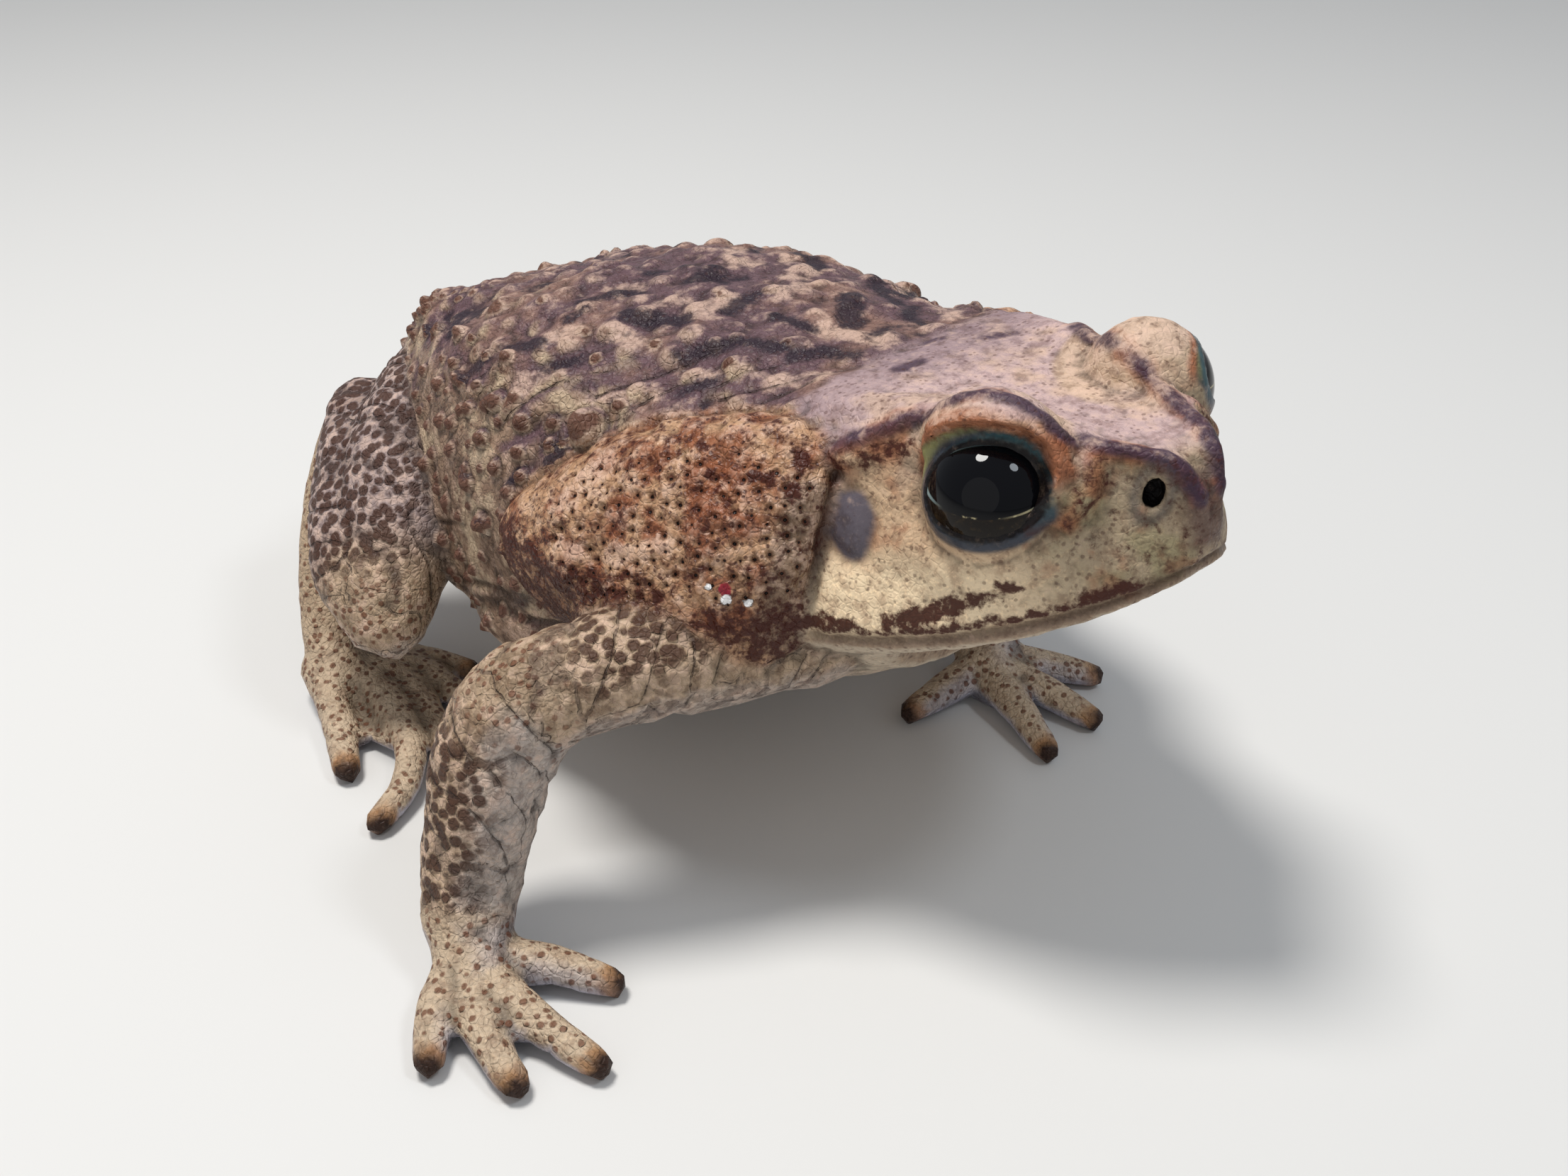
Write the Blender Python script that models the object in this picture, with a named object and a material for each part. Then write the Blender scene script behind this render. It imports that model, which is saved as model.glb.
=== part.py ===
"""Cane toad, life size, as a still museum model in an alert, raised stance.

The toad faces +X, its left is +Y and the floor is z = 0. Sizes are in millimetres until
finish turns each finished node into the scene's unit. The flesh is modelled whole from
lofts, limbs and balls, fused by a voxel remesh, and then parted into its named nodes.
"""

import math
import random

import bmesh
import bpy
import numpy as np
from mathutils import Matrix, Vector
from mathutils.bvhtree import BVHTree

MM = 0.001
GAP = 0.3  # clear space between nodes that meet
BODY_TRIANGLES = 5600  # for each fused form before it is parted
ARM_TRIANGLES = 960
LEG_TRIANGLES = 360
FOOT_TRIANGLES = 820
GLAND_TRIANGLES = 380
VOXEL = 0.6  # grain of the remesh that fuses the flesh
RING = 40  # points round each lofted section
GLAND_RING = 28
TRUNK_SECTIONS = 34
HEAD_SECTIONS = 30
EYE_SIDES = 18
MODEL_SHIFT = Vector((35.45, 9.9, 0.0))  # brings the middle of the model's box over the origin

# Head: its own frame has the jaw corners' middle as origin, +X to the snout.
HEAD_ORIGIN = Vector((0.0, 0.0, 45.0))
HEAD_PITCH = math.radians(15.6)  # snout up
HEAD_YAW = math.radians(-6.0)  # turned to the toad's right
HEAD_ROLL = math.radians(3.6)  # right cheek low
SNOUT_X = 39.9
SNOUT_ROUNDING = 3.2
NOSE_Z = 8.6  # height of the snout's foremost point
HEAD_BACK_X = -14.0
NECK_X = -4.0  # where the head node ends

# Eyes and ears, in the head's frame; y is to one side and is mirrored.
EYE_CENTRE = Vector((21.5, 13.7, 12.6))
EYE_LEFT_SHIFT = Vector((0.3, -1.0, 3.3))  # the left eye is raised further out of its orbit
EYE_RADIUS = 7.4

# What differs between the right eye, -1, and the left one, 1
LID_RISE = {-1: Vector((0.4, -0.6, 2.3)), 1: Vector((0.2, -0.4, 0.2))}
LID_THICKNESS = {-1: (2.5, 0.7, 2.3), 1: (0.9, 0.7, 2.0)}
LID_OPENING = {-1: (12.2, 7.8, 6.2), 1: (10.7, 7.8, 4.6)}
OPENING_LIFT = {-1: Vector((1.2, 0.0, 3.8)), 1: Vector((-1.0, 0.0, 0.0))}
OPENING_TURN = {-1: math.radians(23), 1: 0.0}
EYE_SHOWS = {-1: (6.9, 5.3, 5.2), 1: (6.2, 4.6, 4.2)}
SHOWS_AT = {-1: Vector((3.6, 4.3, 2.4)), 1: Vector((2.3, 4.6, 0.6))}  # from the eyeball's middle

OPENING_OUT = 7.8
LID_SKIN = 0.55  # the thin inner lid that lies on the eyeball within the opening
LID_SPARE = 0.2  # cut away again within the opening
ORBIT_DEPTH = 4.6  # how far from the eyeball the opening may cut into the cheek
NOSTRIL = Vector((37.0, 5.3, 11.0))
TYMPANUM_CENTRE = Vector((6.8, 23.4, 10.3))
TYMPANUM_RADII = (3.6, 4.9)
TYMPANUM_THICK = 1.3
TYMPANUM_SINK = 0.6
NOSTRIL_PIT = (1.5, 1.1, 1.9)

# Radii of the plates that part the limbs and the head
ELBOW_PLATE = 16
WRIST_PLATE = 12
NECK_PLATE = 60

SKIN_TONES = {
    "head": (0.40, 0.27, 0.17),
    "jaw": (0.55, 0.45, 0.31),
    "torso": (0.30, 0.21, 0.15),
    "parotoid": (0.42, 0.24, 0.13),
    "limb": (0.50, 0.42, 0.31),
    "foot": (0.56, 0.50, 0.44),
    "eye": (0.01, 0.01, 0.012),
    "tympanum": (0.26, 0.22, 0.22),
}


def profile(*knots):
    """A smooth curve through (x, value) knots, as a function of x that is flat past its ends."""
    xs = [k[0] for k in knots]
    values = [k[1] for k in knots]
    count = len(knots)
    slopes = []
    for i in range(count):
        low, high = max(i - 1, 0), min(i + 1, count - 1)
        slopes.append((values[high] - values[low]) / (xs[high] - xs[low]))

    def at(x):
        if x <= xs[0]:
            return values[0]
        if x >= xs[-1]:
            return values[-1]
        i = max(k for k in range(count - 1) if xs[k] <= x)
        span = xs[i + 1] - xs[i]
        t = (x - xs[i]) / span
        start = (2 * t**3 - 3 * t**2 + 1) * values[i] + (t**3 - 2 * t**2 + t) * span * slopes[i]
        end = (3 * t**2 - 2 * t**3) * values[i + 1] + (t**3 - t**2) * span * slopes[i + 1]
        return start + end

    return at


# Side, plan and crest lines of the head, as (x, size) in the head's frame.
HEAD_TOP = profile((-14, 24), (0, 23.2), (10, 21.3), (20, 19), (31, 16.3), (37, 14.6), (39.6, 13.2))
CREST_HALF = profile((-14, 20), (0, 18.5), (10, 14.6), (20, 9.8), (26, 8), (31, 6.6), (36, 4.7),
                     (39.6, 2.7))
CREST_TOP = profile((-14, 21), (0, 21.5), (10, 21.9), (20, 20.9), (26, 18.8), (31, 17.2), (37, 15.4),
                    (39.6, 13.6))
LIP_HALF = profile((-14, 29), (0, 27.7), (11, 24.8), (22, 19.2), (30, 12.8), (34, 8.8), (37, 5.2),
                   (39.6, 2.4))
CHEEK = profile((0, 0.62), (12, 0.66), (19, 0.78), (29, 0.8), (33, 0.68), (38, 0.62))  # how full it is
MOUTH_Z = profile((-14, -3.2), (0, -2.9), (12, -2.7), (22, -2.0), (33, -0.4), (39.6, 2.2))
THROAT_Z = profile((-14, -14), (0, -11), (12, -7.8), (24, -4.4), (33, -1.4), (37, 0.2), (39.6, 1.6))

# Side and plan lines of the trunk, as (x, size), from the rump to the neck.
RUMP_X = -107.5
TRUNK_END_X = 4.0  # inside the head
BACK_Z = profile((-107.5, 38), (-103, 45), (-96, 51.5), (-84, 55.8), (-72, 60.2), (-60, 64.7),
                 (-45, 66.5), (-12, 66.3), (4, 63))
BELLY_Z = profile((-107.5, 33), (-102, 27), (-94, 20), (-82, 13.5), (-68, 9), (-50, 8), (-30, 13),
                  (-12, 21), (4, 30))
FLANK_Y = profile((-107.5, 5), (-103, 12.5), (-96, 19.5), (-84, 27), (-70, 33.5), (-56, 37),
                  (-42, 37.5), (-28, 34), (-12, 28), (4, 22))
BACK_BULK = profile((-107.5, 0.6), (-96, 0.52), (-84, 0.56), (-62, 0.74), (-40, 0.86), (4, 0.86))
# Rise for each millimetre towards the left: the right hip is held high.
RUMP_TILT = profile((-90, -0.07), (-64, -0.06), (-40, 0.0))
BELLY_BULK = 0.86  # below 1 a section is fuller than an ellipse
# The belly sags fuller on its right side.
SAGGING_BULK = profile((-80, 0.86), (-68, 0.66), (-56, 0.56), (-40, 0.58), (-26, 0.7), (-14, 0.86))
WIDEST = 0.44  # where a section is widest, as a share of its height

# (x, y, z, radius) for the left side
HIP = ((-66, 11, 57, 4.6), (-78, 14.5, 53.6, 5.0), (-87.5, 16.5, 50.6, 4.8))

# Warts
WART_SEED = 11
WART_SMALL = 1.2
WART_LARGE = 2.3
WART_SPACING = 1.45
WART_TRIES = 230
LARGE_WART = 2.5
LARGE_WARTS = ((-66.5, -20.2, 60), (-37.7, -29.6, 55.7), (-68, 19, 60), (-40, 29, 56))


def smooth_through(points, per_span):
    """Catmull-Rom samples through rows of numbers, with per_span steps between rows."""
    rows = [np.array(p, float) for p in points]
    rows = [2 * rows[0] - rows[1], *rows, 2 * rows[-1] - rows[-2]]
    out = []
    for a, b, c, d in zip(rows, rows[1:], rows[2:], rows[3:]):
        for k in range(per_span):
            t = k / per_span
            out.append(0.5 * (2 * b + (c - a) * t + (2 * a - 5 * b + 4 * c - d) * t**2
                              + (3 * b - a - 3 * c + d) * t**3))
    out.append(rows[-2])
    return out


def loft(rings):
    """A closed bmesh over rings of points of equal count, each end closed by a fan."""
    bm = bmesh.new()
    loops = [[bm.verts.new(p) for p in ring] for ring in rings]
    count = len(loops[0])
    for low, high in zip(loops, loops[1:]):
        for k in range(count):
            n = (k + 1) % count
            bm.faces.new((low[k], low[n], high[n], high[k]))
    for loop, flip in ((loops[0], True), (loops[-1], False)):
        middle = bm.verts.new(sum((v.co for v in loop), Vector()) / count)
        for k in range(count):
            n = (k + 1) % count
            corners = (loop[k], loop[n], middle)
            bm.faces.new(corners[::-1] if flip else corners)
    bmesh.ops.recalc_face_normals(bm, faces=bm.faces)
    return bm


def tube(stations, per_span=5, sides=20):
    """A round limb through (x, y, z, radius) stations, with hemispherical ends."""
    rows = smooth_through(stations, per_span)
    centres = [Vector(r[:3]) for r in rows]
    radii = [float(r[3]) for r in rows]
    tangents = [(b - a).normalized() for a, b in zip(centres, centres[1:])]
    tangents.append(tangents[-1])
    side = tangents[0].orthogonal().normalized()
    rings = []
    caps = (0.92, 0.7, 0.35)
    for i, (centre, tangent, radius) in enumerate(zip(centres, tangents, radii)):
        side = (side - tangent * side.dot(tangent)).normalized()
        other = tangent.cross(side)

        def ring(middle, r):
            return [middle + r * (math.cos(a) * side + math.sin(a) * other)
                    for a in (2 * math.pi * k / sides for k in range(sides))]

        if i == 0:
            rings += [ring(centre - tangent * radius * c, radius * math.sqrt(1 - c * c)) for c in caps]
        rings.append(ring(centre, radius))
        if i == len(centres) - 1:
            rings += [ring(centre + tangent * radius * c, radius * math.sqrt(1 - c * c))
                      for c in caps[::-1]]
    return loft(rings)


def ball(centre, radii, turn=Matrix.Identity(3), segments=24):
    """An ellipsoid with the given half-axes, turned and then set at centre."""
    bm = bmesh.new()
    bmesh.ops.create_uvsphere(bm, u_segments=segments, v_segments=segments // 2, radius=1.0)
    shape = Matrix.Translation(centre) @ turn.to_4x4() @ Matrix.Diagonal((*radii, 1.0))
    bmesh.ops.transform(bm, matrix=shape, verts=bm.verts)
    return bm


def mirrored(point, side):
    """A point given for the left side, on the side asked for: 1 is left, -1 is right."""
    return Vector((point[0], point[1] * side, point[2]))


def head_matrix():
    turn = (Matrix.Rotation(HEAD_YAW, 4, "Z") @ Matrix.Rotation(-HEAD_PITCH, 4, "Y")
            @ Matrix.Rotation(HEAD_ROLL, 4, "X"))
    return Matrix.Translation(HEAD_ORIGIN) @ turn


HEAD = head_matrix()


def trunk_form():
    rings = []
    for step in np.linspace(0, 1, TRUNK_SECTIONS):
        x = RUMP_X + (TRUNK_END_X - RUMP_X) * (0.5 - 0.5 * math.cos(math.pi * step))
        top, low, half = BACK_Z(x), BELLY_Z(x), FLANK_Y(x)
        widest = low + WIDEST * (top - low)
        ring = []
        for k in range(RING):
            a = 2 * math.pi * k / RING
            belly_bulk = SAGGING_BULK(x) if math.cos(a) < 0 else BELLY_BULK
            bulk = BACK_BULK(x) if math.sin(a) > 0 else belly_bulk
            across = math.copysign(abs(math.cos(a)) ** bulk, math.cos(a))
            upright = math.copysign(abs(math.sin(a)) ** bulk, math.sin(a))
            reach = top - widest if upright > 0 else widest - low
            z = widest + reach * upright + RUMP_TILT(x) * half * across
            ring.append(Vector((x, half * across, z)))
        rings.append(ring)
    return loft(rings)


def hip_form(side):
    """The ridge of the hip bone under the skin of the rump."""
    line = [(x, y * side, z + RUMP_TILT(x) * y * side, radius) for x, y, z, radius in HIP]
    return tube(line, 4, 16)


def head_ring(x):
    """One section of the head: flat crown between the crests, sloping cheek, lip, jaw and throat."""
    crest, lip, mouth, throat = CREST_HALF(x), LIP_HALF(x), MOUTH_Z(x), THROAT_Z(x)
    right = [
        (0, HEAD_TOP(x)),
        (crest * 0.6, HEAD_TOP(x)),
        (crest, CREST_TOP(x)),
        (crest + CHEEK(x) * (lip - crest), mouth + 0.48 * (CREST_TOP(x) - mouth)),
        (lip, mouth + 2.2),
        (lip - 0.8, mouth - 1.6),
        (lip * 0.72, mouth + 0.72 * (throat - mouth)),
        (lip * 0.34, throat),
    ]
    outline = right + [(0, throat)] + [(-y, z) for y, z in right[:0:-1]]
    closed = outline + outline[:2]
    samples = smooth_through([(y, z) for y, z in closed], 4)[4:-1]
    past = max(0.0, (x - SNOUT_X + SNOUT_ROUNDING) / SNOUT_ROUNDING)
    shrink = math.sqrt(max(0.0, 1 - past * past))
    samples = [(y * shrink, NOSE_Z + (z - NOSE_Z) * shrink) for y, z in samples]
    return [HEAD @ Vector((x, y, z)) for y, z in samples]


def head_form():
    steps = np.linspace(0, 1, HEAD_SECTIONS)
    span = SNOUT_X - HEAD_BACK_X
    return loft([head_ring(HEAD_BACK_X + 0.997 * span * math.sin(0.5 * math.pi * s)) for s in steps])


def crest_forms(side):
    """The bony ridges over and before the eye, and the fullness of the cheek below it."""
    brow = [(39.0, 0.8, 5.5, 1.0), (39.3, 1.5, 9.8, 1.2), (38.4, 2.7, 13.2, 1.4), (35.8, 4.5, 15.0, 1.4),
            (31.3, 6.5, 16.2, 1.5), (26, 8.0, 18.8, 1.6), (20.5, 9.6, 20.8, 1.6), (14.5, 12.0, 21.0, 1.6),
            (10, 15.2, 20.2, 1.8), (3.5, 19.6, 16.8, 2.0)]
    front = [(31.3, 7.3, 15.6, 1.6), (31.8, 9.7, 12.2, 1.4), (30.2, 11.5, 9.6, 1.2)]
    under_eye = [(29.5, 9.0, 6.6, 2.8), (25.5, 12.9, 6.6, 4.6), (20, 15.2, 6.4, 5.5), (14, 17.2, 6.4, 5.1),
                 (8, 19.6, 6.4, 3.6)]
    forms = []
    for line in (brow, front, under_eye):
        stations = []
        for x, y, z, radius in line:
            stations.append((*(HEAD @ mirrored((x, y, z), side)), radius))
        forms.append(tube(stations, 4, 12))
    return forms


def eye_place(side):
    """The middle of the eyeball, given as for the left side."""
    return EYE_CENTRE + EYE_LEFT_SHIFT if side > 0 else EYE_CENTRE


def eyelid_forms(side):
    """The soft dome over the eyeball, which is the upper lid, and the inner lid all round it."""
    centre = HEAD @ mirrored(eye_place(side) + LID_RISE[side], side)
    dome = ball(centre, [EYE_RADIUS + thick for thick in LID_THICKNESS[side]], HEAD.to_3x3())
    reach = EYE_RADIUS + 2 * GAP + LID_SKIN + LID_SPARE
    return [dome, ball(HEAD @ mirrored(eye_place(side), side), (reach,) * 3)]


# Parotoid gland, in the toad's frame for its left side: (x, y, z) middle, half height, half thickness.
PAROTOID = ((-1.5, 23.0, 50.5, 11.0, 5.0), (-7, 26.0, 48.5, 16.5, 8.0), (-18, 29.5, 46.8, 17.5, 9.5),
            (-30, 32.5, 45.0, 14.0, 8.8), (-39, 35.0, 43.0, 9.0, 6.5), (-45, 36.5, 41.5, 4.0, 3.5))
PAROTOID_LEAN = math.radians(24)
PAROTOID_LEFT_SHIFT = Vector((2.0, 0.0, -1.2))  # drawn forward by the turn of the head


def parotoid_form(side):
    shift = PAROTOID_LEFT_SHIFT if side > 0 else Vector()
    rings = []
    for x, y, z, height, thick in smooth_through(PAROTOID, 5):
        ring = []
        for k in range(GLAND_RING):
            a = 2 * math.pi * k / GLAND_RING
            up = height * math.sin(a)
            out = thick * math.cos(a)
            ring.append(shift + mirrored((
                x,
                y + out * math.cos(PAROTOID_LEAN) - up * math.sin(PAROTOID_LEAN),
                z + up * math.cos(PAROTOID_LEAN) + out * math.sin(PAROTOID_LEAN)), side))
        rings.append(ring)
    return loft(rings)


# Limb paths as (x, y, z, radius), y outwards on the limb's own side.
UPPER_ARM_R = ((-8, 20, 36.5, 8.4), (-14, 35, 36.2, 7.7), (-19.3, 44.8, 35, 7.3), (-24, 52, 32, 7.6))
FOREARM_R = ((-24, 52, 32, 7.8), (-25.6, 56.1, 26, 7.8), (-25.3, 59.2, 19, 7.2), (-24.6, 61.9, 12, 6.6),
             (-22.8, 64.6, 7.0, 6.0))
UPPER_ARM_L = ((-12, 20, 36, 9.0), (-22, 32, 34, 8.2), (-30, 40, 30, 7.6), (-34, 44, 25.5, 7.2))
FOREARM_L = ((-34, 44, 25.5, 7.2), (-32, 42.5, 19.5, 7.0), (-27, 38, 14.5, 6.6), (-23, 34, 10.5, 6.1),
             (-19.5, 30.5, 7.0, 5.7))
PALM_R = ((-22, 65, 6.0, 5.0), (-18.5, 67.5, 4.0, 4.8), (-15, 69.5, 2.8, 4.0))
PALM_L = ((-19, 30, 6.0, 5.0), (-15.5, 27, 4.0, 4.8), (-12, 25.5, 2.8, 4.0))
FINGERS_R = (
    ((-18.5, 69.5, 3.6, 3.2), (-15.5, 75, 3.0, 2.6), (-10.5, 79.5, 1.8, 2.1)),
    ((-15.5, 70, 3.4, 3.2), (-8.5, 73, 3.0, 2.6), (-1.0, 74.5, 1.8, 2.1)),
    ((-15.5, 68, 3.4, 3.2), (-6, 67.5, 3.0, 2.6), (3.5, 66.0, 1.8, 2.0)),
    ((-18, 65.5, 3.6, 3.2), (-12, 60.5, 3.0, 2.7), (-5.5, 56.5, 1.8, 2.2)),
)
FINGERS_L = (
    ((-15.5, 29, 3.6, 3.2), (-10, 34, 3.0, 2.6), (-4, 38.5, 1.8, 2.1)),
    ((-13, 27, 3.4, 3.2), (-5, 28.5, 3.0, 2.6), (2.7, 29.2, 1.8, 2.1)),
    ((-13, 25, 3.4, 3.2), (-4.5, 21.5, 3.0, 2.6), (3, 18.2, 1.8, 2.0)),
    ((-16, 25, 3.6, 3.2), (-16.5, 18, 3.0, 2.7), (-17.3, 11.6, 1.8, 2.2)),
)
THIGH = ((-92, 6, 36, 12), (-87, 18, 37.5, 12), (-79, 31, 33.5, 10.2), (-70, 42.5, 23, 7.4))
SHANK = ((-68.5, 44, 20.5, 6.4), (-76, 42, 24.5, 7.8), (-85, 36, 30.5, 7.8), (-95, 29, 35, 6.2),
         (-100, 25, 36, 5.6))
TARSUS = ((-100.5, 25.5, 35.5, 5.2), (-97.5, 33, 27, 4.6), (-92.5, 39.5, 17.5, 4.3),
          (-87, 43.5, 8.5, 4.4), (-81.5, 46, 4.2, 4.2))
TOES = (
    ((-85, 47, 4.6, 3.4), (-76, 50.5, 3.4, 2.7), (-64.5, 56.1, 1.9, 2.2)),
    ((-84, 44.5, 4.6, 3.4), (-75, 43.5, 3.8, 2.9), (-63, 46.5, 3.2, 2.6), (-55, 52.5, 2.6, 2.3),
     (-51.5, 59.5, 1.8, 2.1)),
    ((-83, 42, 4.4, 3.2), (-73, 39.5, 3.4, 2.7), (-59, 42.5, 1.9, 2.1)),
    ((-84, 40, 4.4, 3.1), (-75, 35.5, 3.2, 2.6), (-65, 34.0, 1.9, 2.1)),
    ((-85, 39, 4.4, 3.0), (-79, 33.5, 3.2, 2.5), (-72.5, 29.0, 1.9, 2.1)),
)


def limb(stations, side):
    return tube([(x, y * side, z, r) for x, y, z, r in stations])


def hand_forms(side):
    palm, fingers = (PALM_L, FINGERS_L) if side > 0 else (PALM_R, FINGERS_R)
    return [limb(palm, side), *[limb(f, side) for f in fingers]]


def foot_forms(side):
    return [limb(TARSUS, side), *[limb(t, side) for t in TOES], *web_forms(side)]


def web_forms(side):
    """Thin skin between neighbouring toes, out to about the middle of the shorter one."""
    forms = []
    for one, other in zip(TOES, TOES[1:]):
        near, far = smooth_through(one, 6), smooth_through(other, 6)
        rings = []
        for t in (0.0, 0.25, 0.5, 0.62):
            a = near[int(t * (len(near) - 1))]
            b = far[int(t * (len(far) - 1))]
            ring = []
            for share in np.linspace(0, 1, 6):
                p = a[:3] * (1 - share) + b[:3] * share
                ring.append(Vector((p[0], p[1] * side, 2.2 + 0.7)))
            for share in np.linspace(1, 0, 6):
                p = a[:3] * (1 - share) + b[:3] * share
                ring.append(Vector((p[0], p[1] * side, 2.2 - 0.7)))
            rings.append(ring)
        forms.append(loft(rings))
    return forms


def tree_of(form):
    form.normal_update()
    return BVHTree.FromBMesh(form)


def is_clear(point, trees, room):
    """Whether a point lies outside every form and at least room away from it."""
    for tree in trees:
        place, normal, _, distance = tree.find_nearest(point)
        if distance < room or (point - place).dot(normal) < 0:
            return False
    return True


def wart(place, normal, radius, stretch=1.0):
    turn = normal.to_track_quat("Z", "Y").to_matrix()
    return ball(place - normal * 0.2 * radius, (radius * stretch, radius, 0.85 * radius), turn, 12)


def scatter_warts(path, form, tries, arc, keep_off, chance):
    """Warts at random over a form, on its skin within the arc to either side of straight up."""
    skin = tree_of(form)
    line = smooth_through(path, 8)
    placed, made = [], []
    for _ in range(tries):
        i = chance.randrange(1, len(line) - 1)
        centre = Vector(line[i][:3])
        along = Vector(line[i + 1][:3]) - Vector(line[i - 1][:3])
        across = along.cross(Vector((0, 0, 1))).normalized()
        angle = chance.uniform(-arc, arc)
        out = across.cross(along).normalized() * math.cos(angle) + across * math.sin(angle)
        radius = WART_SMALL + (WART_LARGE - WART_SMALL) * chance.random() ** 2
        place, normal, _, _ = skin.ray_cast(centre + out * 60, -out)
        if place is None or not is_clear(place, keep_off, radius + 0.8):
            continue
        if all((place - other).length > WART_SPACING * (radius + size) for other, size in placed):
            placed.append((place, radius))
            made.append(wart(place, normal, radius, chance.uniform(1.0, 1.25)))
    return made


def trunk_warts(trunk, keep_off, chance):
    path = [(x, 0.0, BELLY_Z(x) + WIDEST * (BACK_Z(x) - BELLY_Z(x))) for x in range(-100, -8, 10)]
    skin = tree_of(trunk)
    large = []
    for place in LARGE_WARTS:
        place, normal, _, _ = skin.find_nearest(Vector(place[:3]))
        large.append(wart(place, normal, LARGE_WART, 1.3))
    clear = keep_off + [tree_of(form) for form in large]
    return large + scatter_warts(path, trunk, WART_TRIES, math.radians(112), clear, chance)


def joined(forms):
    """One bmesh that holds all of the forms as they lie."""
    whole = bmesh.new()
    for form in forms:
        mesh = bpy.data.meshes.new("form")
        form.to_mesh(mesh)
        whole.from_mesh(mesh)
        bpy.data.meshes.remove(mesh)
        form.free()
    return whole


def as_object(name, bm):
    mesh = bpy.data.meshes.new(name)
    bm.to_mesh(mesh)
    bm.free()
    obj = bpy.data.objects.new(name, mesh)
    bpy.context.scene.collection.objects.link(obj)
    return obj


def apply_modifiers(obj):
    graph = bpy.context.evaluated_depsgraph_get()
    mesh = bpy.data.meshes.new_from_object(obj.evaluated_get(graph))
    old = obj.data
    obj.modifiers.clear()
    obj.data = mesh
    bpy.data.meshes.remove(old)


def set_up(obj, kind, **settings):
    """Adds a modifier with these settings and applies it."""
    modifier = obj.modifiers.new(kind.lower(), kind)
    for key, value in settings.items():
        setattr(modifier, key, value)
    apply_modifiers(obj)


def fuse(name, forms, budget, smooth=5, warts=()):
    """The forms as one closed skin with softened creases, then warts, thinned to about budget triangles."""
    obj = as_object(name, joined(forms))
    set_up(obj, "REMESH", mode="VOXEL", voxel_size=VOXEL)
    set_up(obj, "SMOOTH", factor=0.5, iterations=smooth)
    if warts:
        smooth_part = bmesh.new()
        smooth_part.from_mesh(obj.data)
        bpy.data.objects.remove(obj)
        obj = as_object(name, joined([smooth_part, *warts]))
        set_up(obj, "REMESH", mode="VOXEL", voxel_size=VOXEL)
        set_up(obj, "SMOOTH", factor=0.5, iterations=1)
    triangles = sum(len(p.vertices) - 2 for p in obj.data.polygons)
    set_up(obj, "DECIMATE", ratio=min(1.0, budget / triangles), use_collapse_triangulate=True)
    return obj


def box_mesh(low, high):
    bm = bmesh.new()
    bmesh.ops.create_cube(bm, size=1.0)
    size = Vector(high) - Vector(low)
    spot = (Vector(high) + Vector(low)) / 2
    bmesh.ops.transform(bm, matrix=Matrix.Translation(spot) @ Matrix.Diagonal((*size, 1.0)), verts=bm.verts)
    mesh = bpy.data.meshes.new("box")
    bm.to_mesh(mesh)
    bm.free()
    return mesh


def inflated(obj, by=GAP):
    """A copy of a closed mesh grown by the clear gap, as a cutter for what lies on it."""
    copy = obj.copy()
    copy.data = obj.data.copy()
    bpy.context.scene.collection.objects.link(copy)
    bm = bmesh.new()
    bm.from_mesh(copy.data)
    bm.normal_update()
    moves = [(v, v.normal.copy() * by) for v in bm.verts]
    for vert, move in moves:
        vert.co += move
    bm.to_mesh(copy.data)
    bm.free()
    return copy


def cut(obj, *cutters):
    """Cuts each cutter from the object, for good."""
    for cutter in cutters:
        set_up(obj, "BOOLEAN", operation="DIFFERENCE", solver="MANIFOLD", object=cutter)


def pieces(obj):
    """The separate closed surfaces of an object, largest first, as vertex and face index lists."""
    mesh = obj.data
    root = list(range(len(mesh.vertices)))

    def find(i):
        while root[i] != i:
            root[i] = root[root[i]]
            i = root[i]
        return i

    for edge in mesh.edges:
        a, b = (find(v) for v in edge.vertices)
        root[a] = b
    groups = {}
    for face in mesh.polygons:
        groups.setdefault(find(face.vertices[0]), []).append(face.index)
    return sorted(groups.values(), key=lambda faces: -sum(mesh.polygons[f].area for f in faces))


def take(obj, faces, name):
    """A new object made of some of the faces of another."""
    mesh = obj.data
    order = {}
    shapes = []
    for f in faces:
        shapes.append([order.setdefault(v, len(order)) for v in mesh.polygons[f].vertices])
    points = [mesh.vertices[v].co[:] for v in order]
    copy = bpy.data.meshes.new(name)
    copy.from_pydata(points, [], shapes)
    made = bpy.data.objects.new(name, copy)
    bpy.context.scene.collection.objects.link(made)
    return made


def keep_largest(obj, name):
    made = take(obj, pieces(obj)[0], name)
    bpy.data.objects.remove(obj)
    made.name = name
    return made


def middle(obj):
    total = Vector()
    for vert in obj.data.vertices:
        total += vert.co
    return total / len(obj.data.vertices)


def plate(centre, normal, radius):
    """A thin round plate, GAP thick, to part a limb at a joint."""
    turn = Vector(normal).to_track_quat("Z", "Y").to_matrix()
    rings = []
    for z in (-GAP / 2, GAP / 2):
        rings.append([Vector(centre) + turn @ Vector((radius * math.cos(a), radius * math.sin(a), z))
                      for a in (2 * math.pi * k / 32 for k in range(32))])
    return as_object("plate", loft(rings))


def part_limb(obj, plates, names):
    """Cuts a limb at its joints, and names the lengths in order from the body out."""
    cut(obj, *plates)
    found = pieces(obj)[: len(names)]
    made = [take(obj, faces, "length") for faces in found]
    bpy.data.objects.remove(obj)
    made.sort(key=lambda o: -middle(o).z)
    for piece, name in zip(made, names):
        piece.name = name
    return made


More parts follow.
